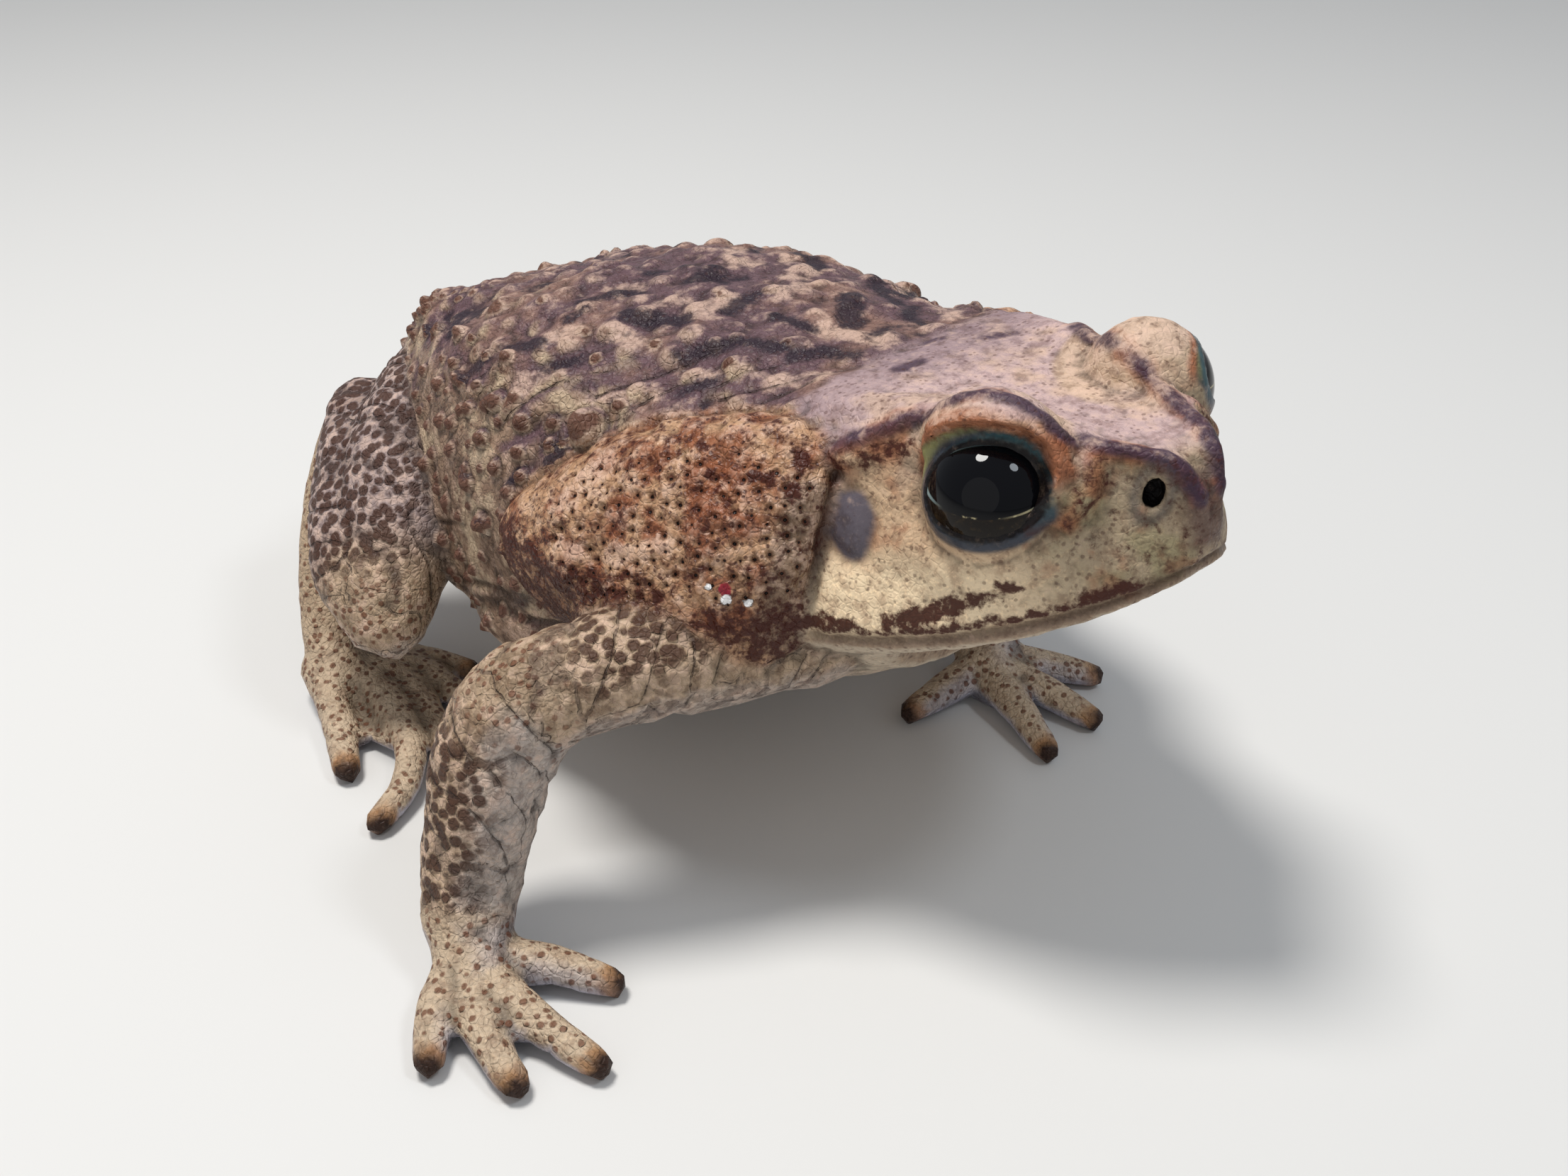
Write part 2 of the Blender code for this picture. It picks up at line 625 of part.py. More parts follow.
def mouth_plate():
    """A thin curved sheet along the line of the mouth, from the neck out past the snout."""
    rings = []
    for x in np.linspace(NECK_X - 4, SNOUT_X + 4, 24):
        z = MOUTH_Z(x)
        rings.append([HEAD @ Vector((x, y, z + dz)) for y, dz in
                      ((-40, -GAP / 2), (40, -GAP / 2), (40, GAP / 2), (-40, GAP / 2))])
    return as_object("mouth", loft(rings))


def eye_axis(side):
    return (HEAD.to_3x3() @ mirrored((0.42, 1.0, 0.1), side)).normalized()


def eye_opening(side):
    """Cutters for the almond opening, down to the inner lid, and for where the eyeball shows."""
    eye = HEAD @ mirrored(eye_place(side), side)
    turn = HEAD.to_3x3() @ Matrix.Rotation(-OPENING_TURN[side] * side, 3, "Z")
    centre = HEAD @ mirrored(eye_place(side) + OPENING_LIFT[side], side) + eye_axis(side) * OPENING_OUT
    opening = as_object("opening", ball(centre, LID_OPENING[side], turn, EYE_SIDES))
    inner = as_object("inner_lid", ball(eye, (EYE_RADIUS + 2 * GAP + LID_SKIN,) * 3, segments=24))
    orbit = as_object("orbit", ball(eye, (EYE_RADIUS + ORBIT_DEPTH,) * 3, segments=24))
    cut(opening, inner)
    set_up(opening, "BOOLEAN", operation="INTERSECT", solver="MANIFOLD", object=orbit)
    for helper in (inner, orbit):
        bpy.data.objects.remove(helper)
    spot = HEAD @ mirrored(eye_place(side) + SHOWS_AT[side], side)
    shows = as_object("shows", ball(spot, EYE_SHOWS[side], turn, EYE_SIDES))
    return opening, shows


def on_surface(tree, point):
    """The nearest place on the flesh to a point, and the direction out of it there."""
    place, normal, _, _ = tree.find_nearest(point)
    return place, normal


def eardrum(tree, side, grow=0.0):
    """A thick oval disc in the cheek behind the eye; grown by the gap, it cuts its own seat."""
    place, normal = on_surface(tree, HEAD @ mirrored(TYMPANUM_CENTRE, side))
    up = HEAD.to_3x3() @ Vector((0, 0, 1))
    across = up.cross(normal).normalized()
    turn = Matrix((across, normal.cross(across), normal)).transposed()
    width, height = TYMPANUM_RADII
    radii = (width + grow, height + grow, TYMPANUM_THICK + grow)
    return ball(place - normal * TYMPANUM_SINK, radii, turn, 12)


def nostril_pit(tree, side):
    place, normal = on_surface(tree, HEAD @ mirrored(NOSTRIL, side))
    turn = normal.to_track_quat("Z", "Y").to_matrix()
    return ball(place - normal * GAP, NOSTRIL_PIT, turn, 8)


def finish(obj, tone, roughness=0.6):
    """Sets the node's material and smooth shading, and turns its millimetres into metres."""
    material = bpy.data.materials.new(obj.name)
    material.use_nodes = True
    shader = material.node_tree.nodes["Principled BSDF"]
    shader.inputs["Base Color"].default_value = (*SKIN_TONES[tone], 1.0)
    shader.inputs["Roughness"].default_value = roughness
    shader.inputs["Metallic"].default_value = 0.0
    obj.data.materials.clear()
    obj.data.materials.append(material)
    obj.data.shade_smooth()
    obj.data.transform(Matrix.Scale(MM, 4) @ Matrix.Translation(MODEL_SHIFT))


def main():
    for obj in list(bpy.data.objects):
        bpy.data.objects.remove(obj)
    nodes = {}
    helpers = []

    chance = random.Random(WART_SEED)
    trunk, skull = trunk_form(), head_form()
    keep_off = [tree_of(skull)]
    for side in (1, -1):
        keep_off += [tree_of(parotoid_form(side)), tree_of(limb(THIGH, side)), tree_of(limb(SHANK, side))]
        keep_off.append(tree_of(limb(UPPER_ARM_L if side > 0 else UPPER_ARM_R, side)))
    warts = trunk_warts(trunk, keep_off, chance)
    forms = [trunk, skull]
    for side in (1, -1):
        forms += [hip_form(side), *crest_forms(side), *eyelid_forms(side)]
    body = fuse("body", forms, BODY_TRIANGLES, 8, warts)
    tree = BVHTree.FromObject(body, bpy.context.evaluated_depsgraph_get())
    shell = inflated(body)
    floor = as_object("floor", ball((0, 0, 0), (1, 1, 1)))
    floor.data = box_mesh((-200, -200, -50), (200, 200, 0))
    helpers += [shell, floor]

    for side, mark in ((1, "left"), (-1, "right")):
        gland = fuse("gland", [parotoid_form(side)], GLAND_TRIANGLES)
        cut(gland, shell)
        gland = keep_largest(gland, "parotoid_" + mark)
        nodes[gland.name] = (gland, "parotoid")
        gland_shell = inflated(gland)

        upper, fore = (UPPER_ARM_L, FOREARM_L) if side > 0 else (UPPER_ARM_R, FOREARM_R)
        arm = fuse("arm", [limb(upper + fore[1:], side), *hand_forms(side)], ARM_TRIANGLES)
        cut(arm, shell, gland_shell, floor)
        arm = keep_largest(arm, "arm")
        elbow = mirrored(fore[0][:3], side)
        above = (elbow - mirrored(upper[-3][:3], side)).normalized()
        below = (mirrored(fore[2][:3], side) - elbow).normalized()
        bend = (above + below).normalized()
        wrist = mirrored(fore[-1][:3], side)
        along = (wrist - mirrored(fore[-2][:3], side)).normalized()
        plates = [plate(elbow, bend, ELBOW_PLATE), plate(wrist - along, along, WRIST_PLATE)]
        names = [n + mark for n in ("upper_arm_", "forearm_", "hand_")]
        for piece, tone in zip(part_limb(arm, plates, names), ("limb", "limb", "foot")):
            nodes[piece.name] = (piece, tone)

        thigh = fuse("thigh_form", [limb(THIGH, side)], LEG_TRIANGLES)
        cut(thigh, shell)
        thigh = keep_largest(thigh, "thigh_" + mark)
        thigh_shell = inflated(thigh)
        shank = fuse("shank_form", [limb(SHANK, side)], LEG_TRIANGLES)
        cut(shank, shell, thigh_shell)
        shank = keep_largest(shank, "shank_" + mark)
        shank_shell = inflated(shank)
        foot = fuse("foot_form", foot_forms(side), FOOT_TRIANGLES)
        cut(foot, shell, shank_shell, floor)
        foot = keep_largest(foot, "foot_" + mark)
        for piece, tone in ((thigh, "limb"), (shank, "limb"), (foot, "foot")):
            nodes[piece.name] = (piece, tone)
        helpers += [gland_shell, thigh_shell, shank_shell, *plates]

        centre = HEAD @ mirrored(eye_place(side), side)
        eye = as_object("eye_" + mark, ball(centre, (EYE_RADIUS,) * 3, segments=EYE_SIDES))
        nodes[eye.name] = (eye, "eye")
        socket = as_object("socket", ball(centre, (EYE_RADIUS + 2 * GAP,) * 3, segments=12))
        opening, shows = eye_opening(side)
        seat = as_object("seat", eardrum(tree, side, GAP))
        drum = as_object("tympanum_" + mark, eardrum(tree, side))
        nodes[drum.name] = (drum, "tympanum")
        pit = as_object("pit", nostril_pit(tree, side))
        cut(body, socket, opening, shows, seat, pit)
        helpers += [socket, opening, shows, seat, pit]

    neck = plate(HEAD @ Vector((NECK_X, 0, 0)), HEAD.to_3x3() @ Vector((1, 0, 0)), NECK_PLATE)
    mouth = mouth_plate()
    cut(body, neck)
    halves = [take(body, faces, "half") for faces in pieces(body)[:2]]
    front, back = sorted(halves, key=lambda o: -middle(o).x)
    bpy.data.objects.remove(body)
    back.name = "torso"
    cut(front, mouth)
    halves = [take(front, faces, "half") for faces in pieces(front)[:2]]
    upper, lower = sorted(halves, key=lambda o: -middle(o).z)
    bpy.data.objects.remove(front)
    upper.name, lower.name = "head", "lower_jaw"
    nodes.update(torso=(back, "torso"), head=(upper, "head"), lower_jaw=(lower, "jaw"))
    for helper in helpers + [neck, mouth]:
        bpy.data.objects.remove(helper)
    for obj, tone in nodes.values():
        finish(obj, tone, 0.05 if tone == "eye" else 0.6)


main()
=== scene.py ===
import math

import bmesh
import bpy
import numpy as np
from mathutils import Matrix, Vector, kdtree
from mathutils.bvhtree import BVHTree


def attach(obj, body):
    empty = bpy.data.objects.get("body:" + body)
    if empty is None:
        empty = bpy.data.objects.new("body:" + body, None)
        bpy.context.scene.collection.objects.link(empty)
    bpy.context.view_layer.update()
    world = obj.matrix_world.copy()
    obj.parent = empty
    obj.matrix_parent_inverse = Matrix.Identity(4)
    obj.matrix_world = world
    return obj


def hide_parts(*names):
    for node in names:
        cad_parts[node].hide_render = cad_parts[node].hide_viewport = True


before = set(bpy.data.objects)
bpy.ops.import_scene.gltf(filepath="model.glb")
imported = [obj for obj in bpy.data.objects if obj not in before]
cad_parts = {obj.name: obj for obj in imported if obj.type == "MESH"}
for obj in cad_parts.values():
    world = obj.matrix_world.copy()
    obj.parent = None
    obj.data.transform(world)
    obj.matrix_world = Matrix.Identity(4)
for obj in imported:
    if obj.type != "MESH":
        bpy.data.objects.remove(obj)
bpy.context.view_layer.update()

# Sizes are in millimetres, in the toad's own frame: +X to the snout, +Y to its left, floor at z 0.
MM = 0.001
TOAD_AT = np.array((35.45, 9.9, 0.0))  # from its own origin to the model's

# Skin
GRAIN = 0.5  # spacing of the points while the skin is shaped
SWELL = 0.25  # closes the gaps between the solids, and is taken off again
MOST_TRIANGLES = 196000
SKIN_SEED = 5
FOLD_WAY = (0.6, 0.75, 0.4)  # the way the folds of the back run
COARSE_STEPS = 20  # how finely the weights for thinning out are graded
LIMB_ROUND = 7.0  # radius that noise is wrapped round a limb with
CREASE_DEPTH, CREASE_WIDTH = 0.34, 0.24  # the width is in the noise that it follows
CROSS_DEPTH, CROSS_WIDTH = 0.1, 0.22
SAG_DEPTH, SAG_WIDTH = 0.6, 0.2
GROOVE_DEPTH, GROOVE_WIDTH = 1.3, 0.8
MOUTH_DEPTH = 0.55
EAR_RIM = 0.3

# Set at random: how many, how far apart at least, and their least and largest radius
FLANK_WARTS = (170, 3.4, (0.8, 1.5))
BACK_WARTS = (170, 4.2, (1.2, 2.4))
PORES = (260, 1.55, (0.5, 0.85))

# Head, in its own frame; where a y is to one side, it is mirrored
HEAD_ORIGIN = Vector((0.0, 0.0, 45.0))
HEAD_PITCH = math.radians(15.6)
HEAD_YAW = math.radians(-6.0)
HEAD_ROLL = math.radians(3.6)
EYE_CENTRE = np.array((21.5, 13.7, 12.6))
EYE_LEFT_SHIFT = np.array((0.3, -1.0, 3.3))
EYE_RADIUS = 7.4
EYE_LOOK = np.array((0.42, 1.0, 0.1))
OPENING_OUT = 7.8
OPENING_SIZE, SHOWS_SIZE = 6.5, 5.5  # turn a share of the ovals below into mm
# Distances from the eyeball to the lid before it is laid close, and after
LID_OVER_BALL = ((-9, 0.3, 0.6, 1.2, 1.9, 3.0), (0.05, 0.05, 0.12, 0.34, 0.8, 3.0))
LID_DIP = 0.45

# What differs between the right eye, -1, and the left one, 1
EYE_SHOWS = {-1: (7.5, 5.5, 5.4), 1: (6.2, 4.6, 4.2)}
SHOWS_AT = {-1: (3.6, 4.3, 2.4), 1: (2.3, 4.6, 0.6)}
OPENING = {-1: (12.2, 7.8, 6.2), 1: (10.7, 7.8, 4.6)}
OPENING_LIFT = {-1: (1.2, 0.0, 3.8), 1: (-1.0, 0.0, 0.0)}
OPENING_TURN = {-1: math.radians(23), 1: 0.0}
NOSTRIL = np.array((36.4, 4.7, 11.2))
NOSTRIL_WAY = np.array((0.59, 0.81, 0.0))
NOSTRIL_LONG = np.array((0.35, -0.25, 0.90))
NOSTRIL_DEPTH = 1.5
CREST_RIGHT = ((3.5, 20.6, 18.2), (9.3, 17.5, 20.0), (12.5, 15.6, 21.2), (16.0, 15.3, 22.8),
               (19.0, 15.5, 23.5), (21.9, 14.4, 24.3), (25.1, 13.0, 23.9), (28.0, 11.9, 22.1),
               (29.9, 10.2, 19.2), (31.6, 7.8, 17.3), (36.1, 5.2, 16.1), (38.6, 3.3, 14.4),
               (40.2, 1.7, 9.8))
CREST_LEFT = ((3.5, 19.6, 18.8), (10, 14.8, 21.8), (14.5, 11.5, 22.5), (20.5, 9.1, 22.3), (26, 7.5, 20.3),
              (31.3, 6.0, 17.6), (35.8, 4.4, 16.3), (38.4, 2.9, 14.5), (39.8, 1.6, 10))
FRONT_RIDGE = ((31.6, 8.4, 16.2), (32.7, 9.6, 13.8), (32.4, 11.2, 12.0), (31.0, 12.8, 9.8))
EAR_FOLD = ((4.5, 21.0, 16.9), (8.8, 18.1, 17.5), (12.3, 16.1, 18.4))
GLAND_CREASE = ((4.4, 21.4, 15.6), (3.3, 24.2, 9.6), (1.4, 26.5, 2.4))

# The pupil's rim on the eyeball, in the head's frame for the left eye
PUPIL_RIGHT = Vector((0.695, -0.697, -0.178))
PUPIL_UP = Vector((-0.119, -0.356, 0.927))
PUPIL_AT = (-0.47, 1.2)
PUPIL_HALF = (6.75, 3.95)

# Limbs as straight lengths
LIMBS = (("upper_arm_right", (-12, -30, 36.4), (-24, -52, 32)),
         ("forearm_right", (-24, -52, 32), (-23, -64.8, 7)),
         ("upper_arm_left", (-16, 25, 35), (-34, 44, 25.5)),
         ("forearm_left", (-34, 44, 25.5), (-19.5, 30.5, 7)),
         ("thigh_left", (-89, 12, 36.5), (-70, 42.5, 23)),
         ("shank_left", (-68.5, 44, 20.5), (-100, 25, 36)),
         ("thigh_right", (-89, -12, 36.5), (-70, -42.5, 23)),
         ("shank_right", (-68.5, -44, 20.5), (-100, -25, 36)))
ELBOWS = ((-24, -52, 33), (-34, 45, 26))
KNEES = ((-68.5, 45, 20), (-68.5, -45, 20))

# Warts that stand out, as x, y, z and radius; all are mirrored
WARTS = ((-66.5, -20.2, 60, 2.7), (-37.7, -29.6, 55.7, 2.9), (-54.1, -31.2, 54.4, 1.7),
         (-58.8, -32.2, 52.3, 1.3), (-54.4, -34, 50.1, 1.4), (-50, -35.3, 47.7, 1.4),
         (-44.6, -35.1, 48.3, 1.2), (-46.1, -36.9, 42.5, 1), (-55.8, -36, 43.9, 1.4),
         (-52.3, -37.1, 39.5, 1.8), (-60.4, -36, 31, 1.3), (-64.2, -34.3, 26.4, 1.1),
         (-62.6, -35.5, 38, 1.3), (-62.2, -33.2, 49.1, 1.3),
         (-65.8, -34.6, 38.5, 1.2), (-67.4, -33.6, 43, 1.2), (-42.4, -32.3, 52.9, 1.2),
         (-40.4, -36.8, 41.2, 1), (-64.4, -29.7, 54, 1.4), (-68.6, -29.9, 51.7, 1.4))

# Strokes of colour, as half a width and then points; one that starts past this y is mirrored
MIRRORED_PAST = -9
BACK_BLOTCHES = (
    (1.4, (-54.1, -16.6, 64.6), (-52.1, -13.5, 65.3), (-49.6, -10.7, 65.8)),
    (1.8, (-45.6, -16, 64.8), (-40.9, -14.6, 65.1), (-38.2, -12.7, 65.5)),
    (1.5, (-45.2, -4.7, 66.4), (-46.3, 0.1, 66.4)),
    (1.8, (-35, -7.3, 66.4), (-35.2, -3.3, 66.6)),
    (2.1, (-25.4, 4.9, 66.6), (-20.7, 0.2, 66.7)),
    (1.5, (-32.6, -18.2, 63.7), (-30.7, -15.3, 64.7), (-28, -13, 65.7), (-22.5, -10.9, 65.6)),
    (1.3, (-20.1, -11.3, 65.5), (-17.9, -7.5, 66), (-13.5, -6.7, 66)),
    (1.3, (-28.4, -5.7, 66.6), (-23, -4.8, 66.5)),
    (1.3, (-8.1, -7, 66.8), (-3.6, -7.5, 67.4)),
    (1.3, (-28.8, -21.9, 61.6), (-26.1, -19, 62.9)),
    (1.1, (-53.3, -6, 65.8), (-52.8, -3.8, 65.9)),
    (1, (-11.8, 3.2, 66.3), (-7.7, 2.6, 67.2)),
    (1.5, (-57.1, -26.8, 60), (-52.7, -25.1, 61.3)),
    (1.3, (-49.2, -27.3, 59.9), (-45.4, -24.4, 61.4)),
    (1.6, (-73.3, -24.8, 56.6), (-75.9, -20.3, 57.7)),
    (1.6, (-84.1, -7.9, 55.8), (-82.1, -5.4, 56.2)))
BACK_PATCHES = (
    (2.2, (-38.6, -10.8, 65.8), (-37.1, -6.3, 66.4)), (1.8, (-31.7, -1.5, 67.9), (-33, 4.1, 66.6)),
    (1.2, (-54.3, -11.7, 65.4), (-51.6, -9.2, 65.8)), (1.4, (-45.2, -19.2, 63.8), (-38.4, -19, 63.6)),
    (1.3, (-43.8, -12, 65.6), (-41.8, -9.3, 66)), (1.7, (-51.7, -30.2, 57.3), (-47.3, -27.2, 59.7)),
    (1.3, (-52.2, -24.3, 61.8), (-49.5, -21.6, 63.2)), (1.2, (-30.9, -20.4, 62.6), (-22.3, -16, 64.1)),
    (1.7, (-46.6, 2.6, 66.2), (-45.6, 6.5, 66.1)), (1.6, (-18.9, -15.6, 63.9), (-13.8, -11.8, 65.3)),
    (1.5, (-38.2, -27.2, 58.8), (-31.8, -23.4, 60.9)), (1.7, (-21.7, -3.6, 66.5), (-13.5, -2, 66.3)))
FLANK_STREAKS = (
    (1.3, (-64.3, -38, 22.6), (-55, -37.6, 26), (-47.8, -36.9, 29.4), (-38, -39.5, 34),
     (-29.4, -42.2, 39.3)),
    (0.7, (-70, -34, 16), (-58, -36, 19), (-46, -36.1, 24.5), (-36, -39, 30)))
GLAND_LIGHT = ((1.1, (-29.9, -41.2, 46.8), (-24.3, -40.7, 46.9), (-19, -39, 48.9), (-15.1, -36.8, 51.6)),
               (1.8, (-31.5, -38.4, 52), (-28.9, -34.6, 56.4)),
               (1.2, (-13.3, -38.8, 43), (-10.6, -37.3, 45)))
GLAND_RED = ((2.6, (-14, -29.7, 60.9), (-8.5, -29.4, 59.2)), (1.6, (-11.9, -34.1, 54.6), (-7, -32, 55)))
GLAND_FRONT = ((3.4, (-1.9, -25.6, 56.6), (-1.6, -28.2, 50.3), (-2.5, -30, 42)),)
GLAND_SPOTS = ((0.8, (-6.9, -28, 59.6)), (0.8, (-4.3, -26.9, 58.6)), (0.9, (-5.3, -24.4, 61.8)),
               (0.7, (-8.8, -29.1, 59.7)), (0.7, (-16.5, -29.6, 61.4)), (0.6, (-13.4, -31.4, 59)))
LIP_BLOTCHES = ((0.9, (1, 27.5, -0.9), (3.5, 27.1, -1.2), (6.5, 26.4, -1)),
                (1, (11.8, 24.3, -0.6), (16, 22.5, 0.6), (19.8, 20.4, 1.6)),
                (0.6, (21.3, 19.4, 2), (23.3, 18, 2.5), (25.3, 16.5, 3.5)),
                (0.45, (8, 26, -1.9), (16, 22.6, -1.3), (25, 17.2, -0.7), (30.2, 12.6, 0.2),
                 (35, 7.5, 1.1)))
CROWN_BLOTCHES = ((0.9, (2.2, 6.8, 22.9), (3.9, 9.3, 22.6)), (0.9, (1.1, -6.4, 23.1), (1.5, -3.3, 23)),
                  (0.8, (-3.1, 2.2, 23.5), (-2.5, 4.1, 23.4)))
TOES = ((-64.5, 56.1, 1.9), (-51.5, 59.5, 1.8), (-59, 42.5, 1.9), (-65, 34, 1.9), (-72.5, 29, 1.9))
TIPS = ((-10.5, -79.5, 1.8), (-1, -74.5, 1.8), (3.5, -66, 1.8), (-5.5, -56.5, 1.8),
        (-4, 38.5, 1.8), (2.7, 29.2, 1.8), (3, 18.2, 1.8), (-17.3, 11.6, 1.8),
        *TOES, *((x, -y, z) for x, y, z in TOES))
PALMS = ((-15, -68, 3), (-12, 26, 3), (-84, 44, 4), (-84, -44, 4))
MILKY_DROPS = (((-9, -35.8, 47.7), 0.45), ((-6.9, -35, 46.4), 0.6), ((-5, -33.5, 46.3), 0.65))
RED_SPOT = ((-7.3, -34.9, 47.7), 0.8)

# Lamps: a name, place and target in metres, width, power and colour
LAMPS = (("overhead", (-0.14, -0.10, 0.68), (0, 0, 0.03), 0.2, 4.2, (1.0, 0.98, 0.95)),
         ("window", (0.30, -0.95, 0.40), (0, 0, 0.04), 1.3, 1.5, (1.0, 0.97, 0.93)),
         ("skylight", (0.38, 0.12, 0.66), (0, 0, 0.04), 0.16, 1.0, (0.85, 0.92, 1.0)))
SKY = (0.88, 0.93, 1.0, 1)
SKY_STRENGTH = 0.40
FLOOR = (0.66, 0.65, 0.63)
FLOOR_WIDTH = 6.0

# Camera
CAMERA_AT = (116.2, -147.9, 150.4)
CAMERA_AZIMUTH = math.radians(45.2)
CAMERA_DROP = math.radians(31.5)
SENSOR = 36.0
PHOTO_WIDTH, FOCAL_LENGTH = 2212, 2400  # in pixels of the photograph
LENS = SENSOR * FOCAL_LENGTH / PHOTO_WIDTH

chance = np.random.default_rng(SKIN_SEED)


def head_matrix():
    turn = (Matrix.Rotation(HEAD_YAW, 4, "Z") @ Matrix.Rotation(-HEAD_PITCH, 4, "Y")
            @ Matrix.Rotation(HEAD_ROLL, 4, "X"))
    return Matrix.Translation(HEAD_ORIGIN) @ turn


HEAD = head_matrix()
TILT = np.array(Matrix.Rotation(0.6, 3, "X") @ Matrix.Rotation(0.8, 3, "Z") @ Matrix.Rotation(0.5, 3, "Y"))


def mirrored(point, side):
    return Vector((point[0], point[1] * side, point[2]))


def in_head(at):
    """Points in the head's own frame."""
    turn = np.array(HEAD.to_3x3())
    return (at - np.array(HEAD_ORIGIN)) @ turn


def one_side(at, side=1):
    """Points with their y brought to the left side, or to the right for side -1."""
    return np.c_[at[:, 0], side * np.abs(at[:, 1]), at[:, 2]]


def to_model(at):
    """Millimetres in the toad's own frame, as metres in the model's."""
    return (np.asarray(at) + TOAD_AT) * MM


def ramp(low, high, value):
    """0 below low, 1 above high and smooth between; low may be the larger."""
    t = np.clip((value - low) / (high - low), 0.0, 1.0)
    return t * t * (3 - 2 * t)


def bell(value, width):
    """1 where the value is 0, and falling off smoothly over the width on both sides."""
    return np.exp(-((value / width) ** 2))


def length(at):
    return np.linalg.norm(at, axis=1)


def nearest(at, places):
    """Each point's distance to the nearest of these places."""
    return np.min([length(at - place) for place in places], axis=0)


def mottle(at, size, seed=0, turn=TILT):
    """Smooth noise from -1 to 1 that varies over about size mm, or over three sizes for x, y and z."""
    spot = at @ turn / size + 31.7 * seed
    cell = np.floor(spot).astype(np.int64)
    part = spot - cell
    part = part * part * (3 - 2 * part)
    total = np.zeros(len(at))
    for corner in np.ndindex(2, 2, 2):
        key = (cell + corner) * (73856093, 19349663, 83492791)
        mixed = key[:, 0] ^ key[:, 1] ^ key[:, 2] ^ (seed * 2654435761)
        mixed = (mixed ^ (mixed >> 13)) * 1274126177
        value = ((mixed ^ (mixed >> 16)) & 0xFFFF) / 32767.5 - 1
        total += value * np.prod(np.where(corner, part, 1 - part), axis=1)
    return total


def cloud(at, size, seed=0, rounds=3):
    """Noise with finer noise on it, from about -1 to 1."""
    total, share = np.zeros(len(at)), 1.0
    for step in range(rounds):
        total += share * mottle(at, size / 2**step, seed + step)
        share *= 0.55
    return total


def stretched(at, along, size, seed):
    """Noise drawn out along a direction: size is how far it runs, then how far apart its streaks are."""
    first = np.array(along) / np.linalg.norm(along)
    second = np.cross(first, (0.31, 0.2, 0.93))
    second /= np.linalg.norm(second)
    turn = np.c_[first, second, np.cross(first, second)]
    return mottle(at, np.array((size[0], size[1], size[1])), seed, turn)


def slanted(at, start, end, slant, size, seed):
    """Noise wrapped round a limb and drawn out at a slant to its girth."""
    start, axis = np.array(start, float), np.array(end, float) - start
    axis /= np.linalg.norm(axis)
    across = np.cross(axis, (0, 0, 1))
    across /= np.linalg.norm(across)
    away = at - start
    along = away @ axis
    around = LIMB_ROUND * np.arctan2(away @ np.cross(across, axis), away @ across)
    one = math.cos(slant) * around + math.sin(slant) * along
    other = math.cos(slant) * along - math.sin(slant) * around
    return mottle(np.c_[one, other, 0 * one], np.array((size[0], size[1], 1.0)), seed, np.eye(3))


def line_distance(at, line):
    """Each point's distance to a broken line through the given points."""
    line = [np.array(p, float) for p in line]
    best = length(at - line[0])
    for a, b in zip(line, line[1:]):
        span = b - a
        t = np.clip((at - a) @ span / (span @ span), 0, 1)
        best = np.minimum(best, length(at - a - t[:, None] * span))
    return best


def strokes(at, marks):
    """How many mm inside the nearest stroke each point lies; below 0 it is outside."""
    folded = one_side(at, -1)
    inside = np.full(len(at), -np.inf)
    for half, *line in marks:
        place = folded if line[0][1] < MIRRORED_PAST else at
        inside = np.maximum(inside, half - line_distance(place, line))
    return inside


# Tools for pieces

def deselect():
    for obj in bpy.context.selected_objects:
        obj.select_set(False)


def pick(obj):
    deselect()
    obj.select_set(True)
    bpy.context.view_layer.objects.active = obj


def apply(obj, kind, **settings):
    """Adds a modifier with these settings and applies it."""
    pick(obj)
    modifier = obj.modifiers.new(kind.lower(), kind)
    for key, value in settings.items():
        setattr(modifier, key, value)
    bpy.ops.object.modifier_apply(modifier=modifier.name)


def points_of(mesh):
    flat = np.empty(len(mesh.vertices) * 3, np.float32)
    mesh.vertices.foreach_get("co", flat)
    return flat.reshape(-1, 3).astype(float) / MM - TOAD_AT


def set_points(mesh, at):
    mesh.vertices.foreach_set("co", to_model(at).astype(np.float32).ravel())
    mesh.update()


class Hide:
    """The skin's points, neighbours and triangles as arrays, to shape it and to soften masks on it."""

    def __init__(self, mesh):
        self.at = points_of(mesh)
        self.size = len(self.at)
        ends = np.empty(len(mesh.edges) * 2, np.int32)
        mesh.edges.foreach_get("vertices", ends)
        self.one, self.other = ends.reshape(-1, 2).T
        self.valence = np.bincount(ends, minlength=self.size)
        mesh.calc_loop_triangles()
        corners = np.empty(len(mesh.loop_triangles) * 3, np.int32)
        mesh.loop_triangles.foreach_get("vertices", corners)
        self.triangles = corners.reshape(-1, 3)

    def around(self, values):
        """The mean over each point's neighbours."""
        if values.ndim > 1:
            return np.stack([self.around(column) for column in values.T], axis=1)
        total = np.bincount(self.one, values[self.other], self.size)
        total += np.bincount(self.other, values[self.one], self.size)
        return total / self.valence

    def softened(self, values, rounds, share=0.5):
        for _ in range(rounds):
            values = values + share * (self.around(values) - values)
        return values

    def outwards(self, at=None):
        at = self.at if at is None else at
        a, b, c = (at[self.triangles[:, k]] for k in range(3))
        faces = np.cross(b - a, c - a)
        total = np.zeros((self.size, 3))
        for corner in self.triangles.T:
            for axis in range(3):
                total[:, axis] += np.bincount(corner, faces[:, axis], self.size)
        return total / (np.linalg.norm(total, axis=1, keepdims=True) + 1e-12)


def flesh_nodes():
    return [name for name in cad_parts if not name.startswith("eye")]


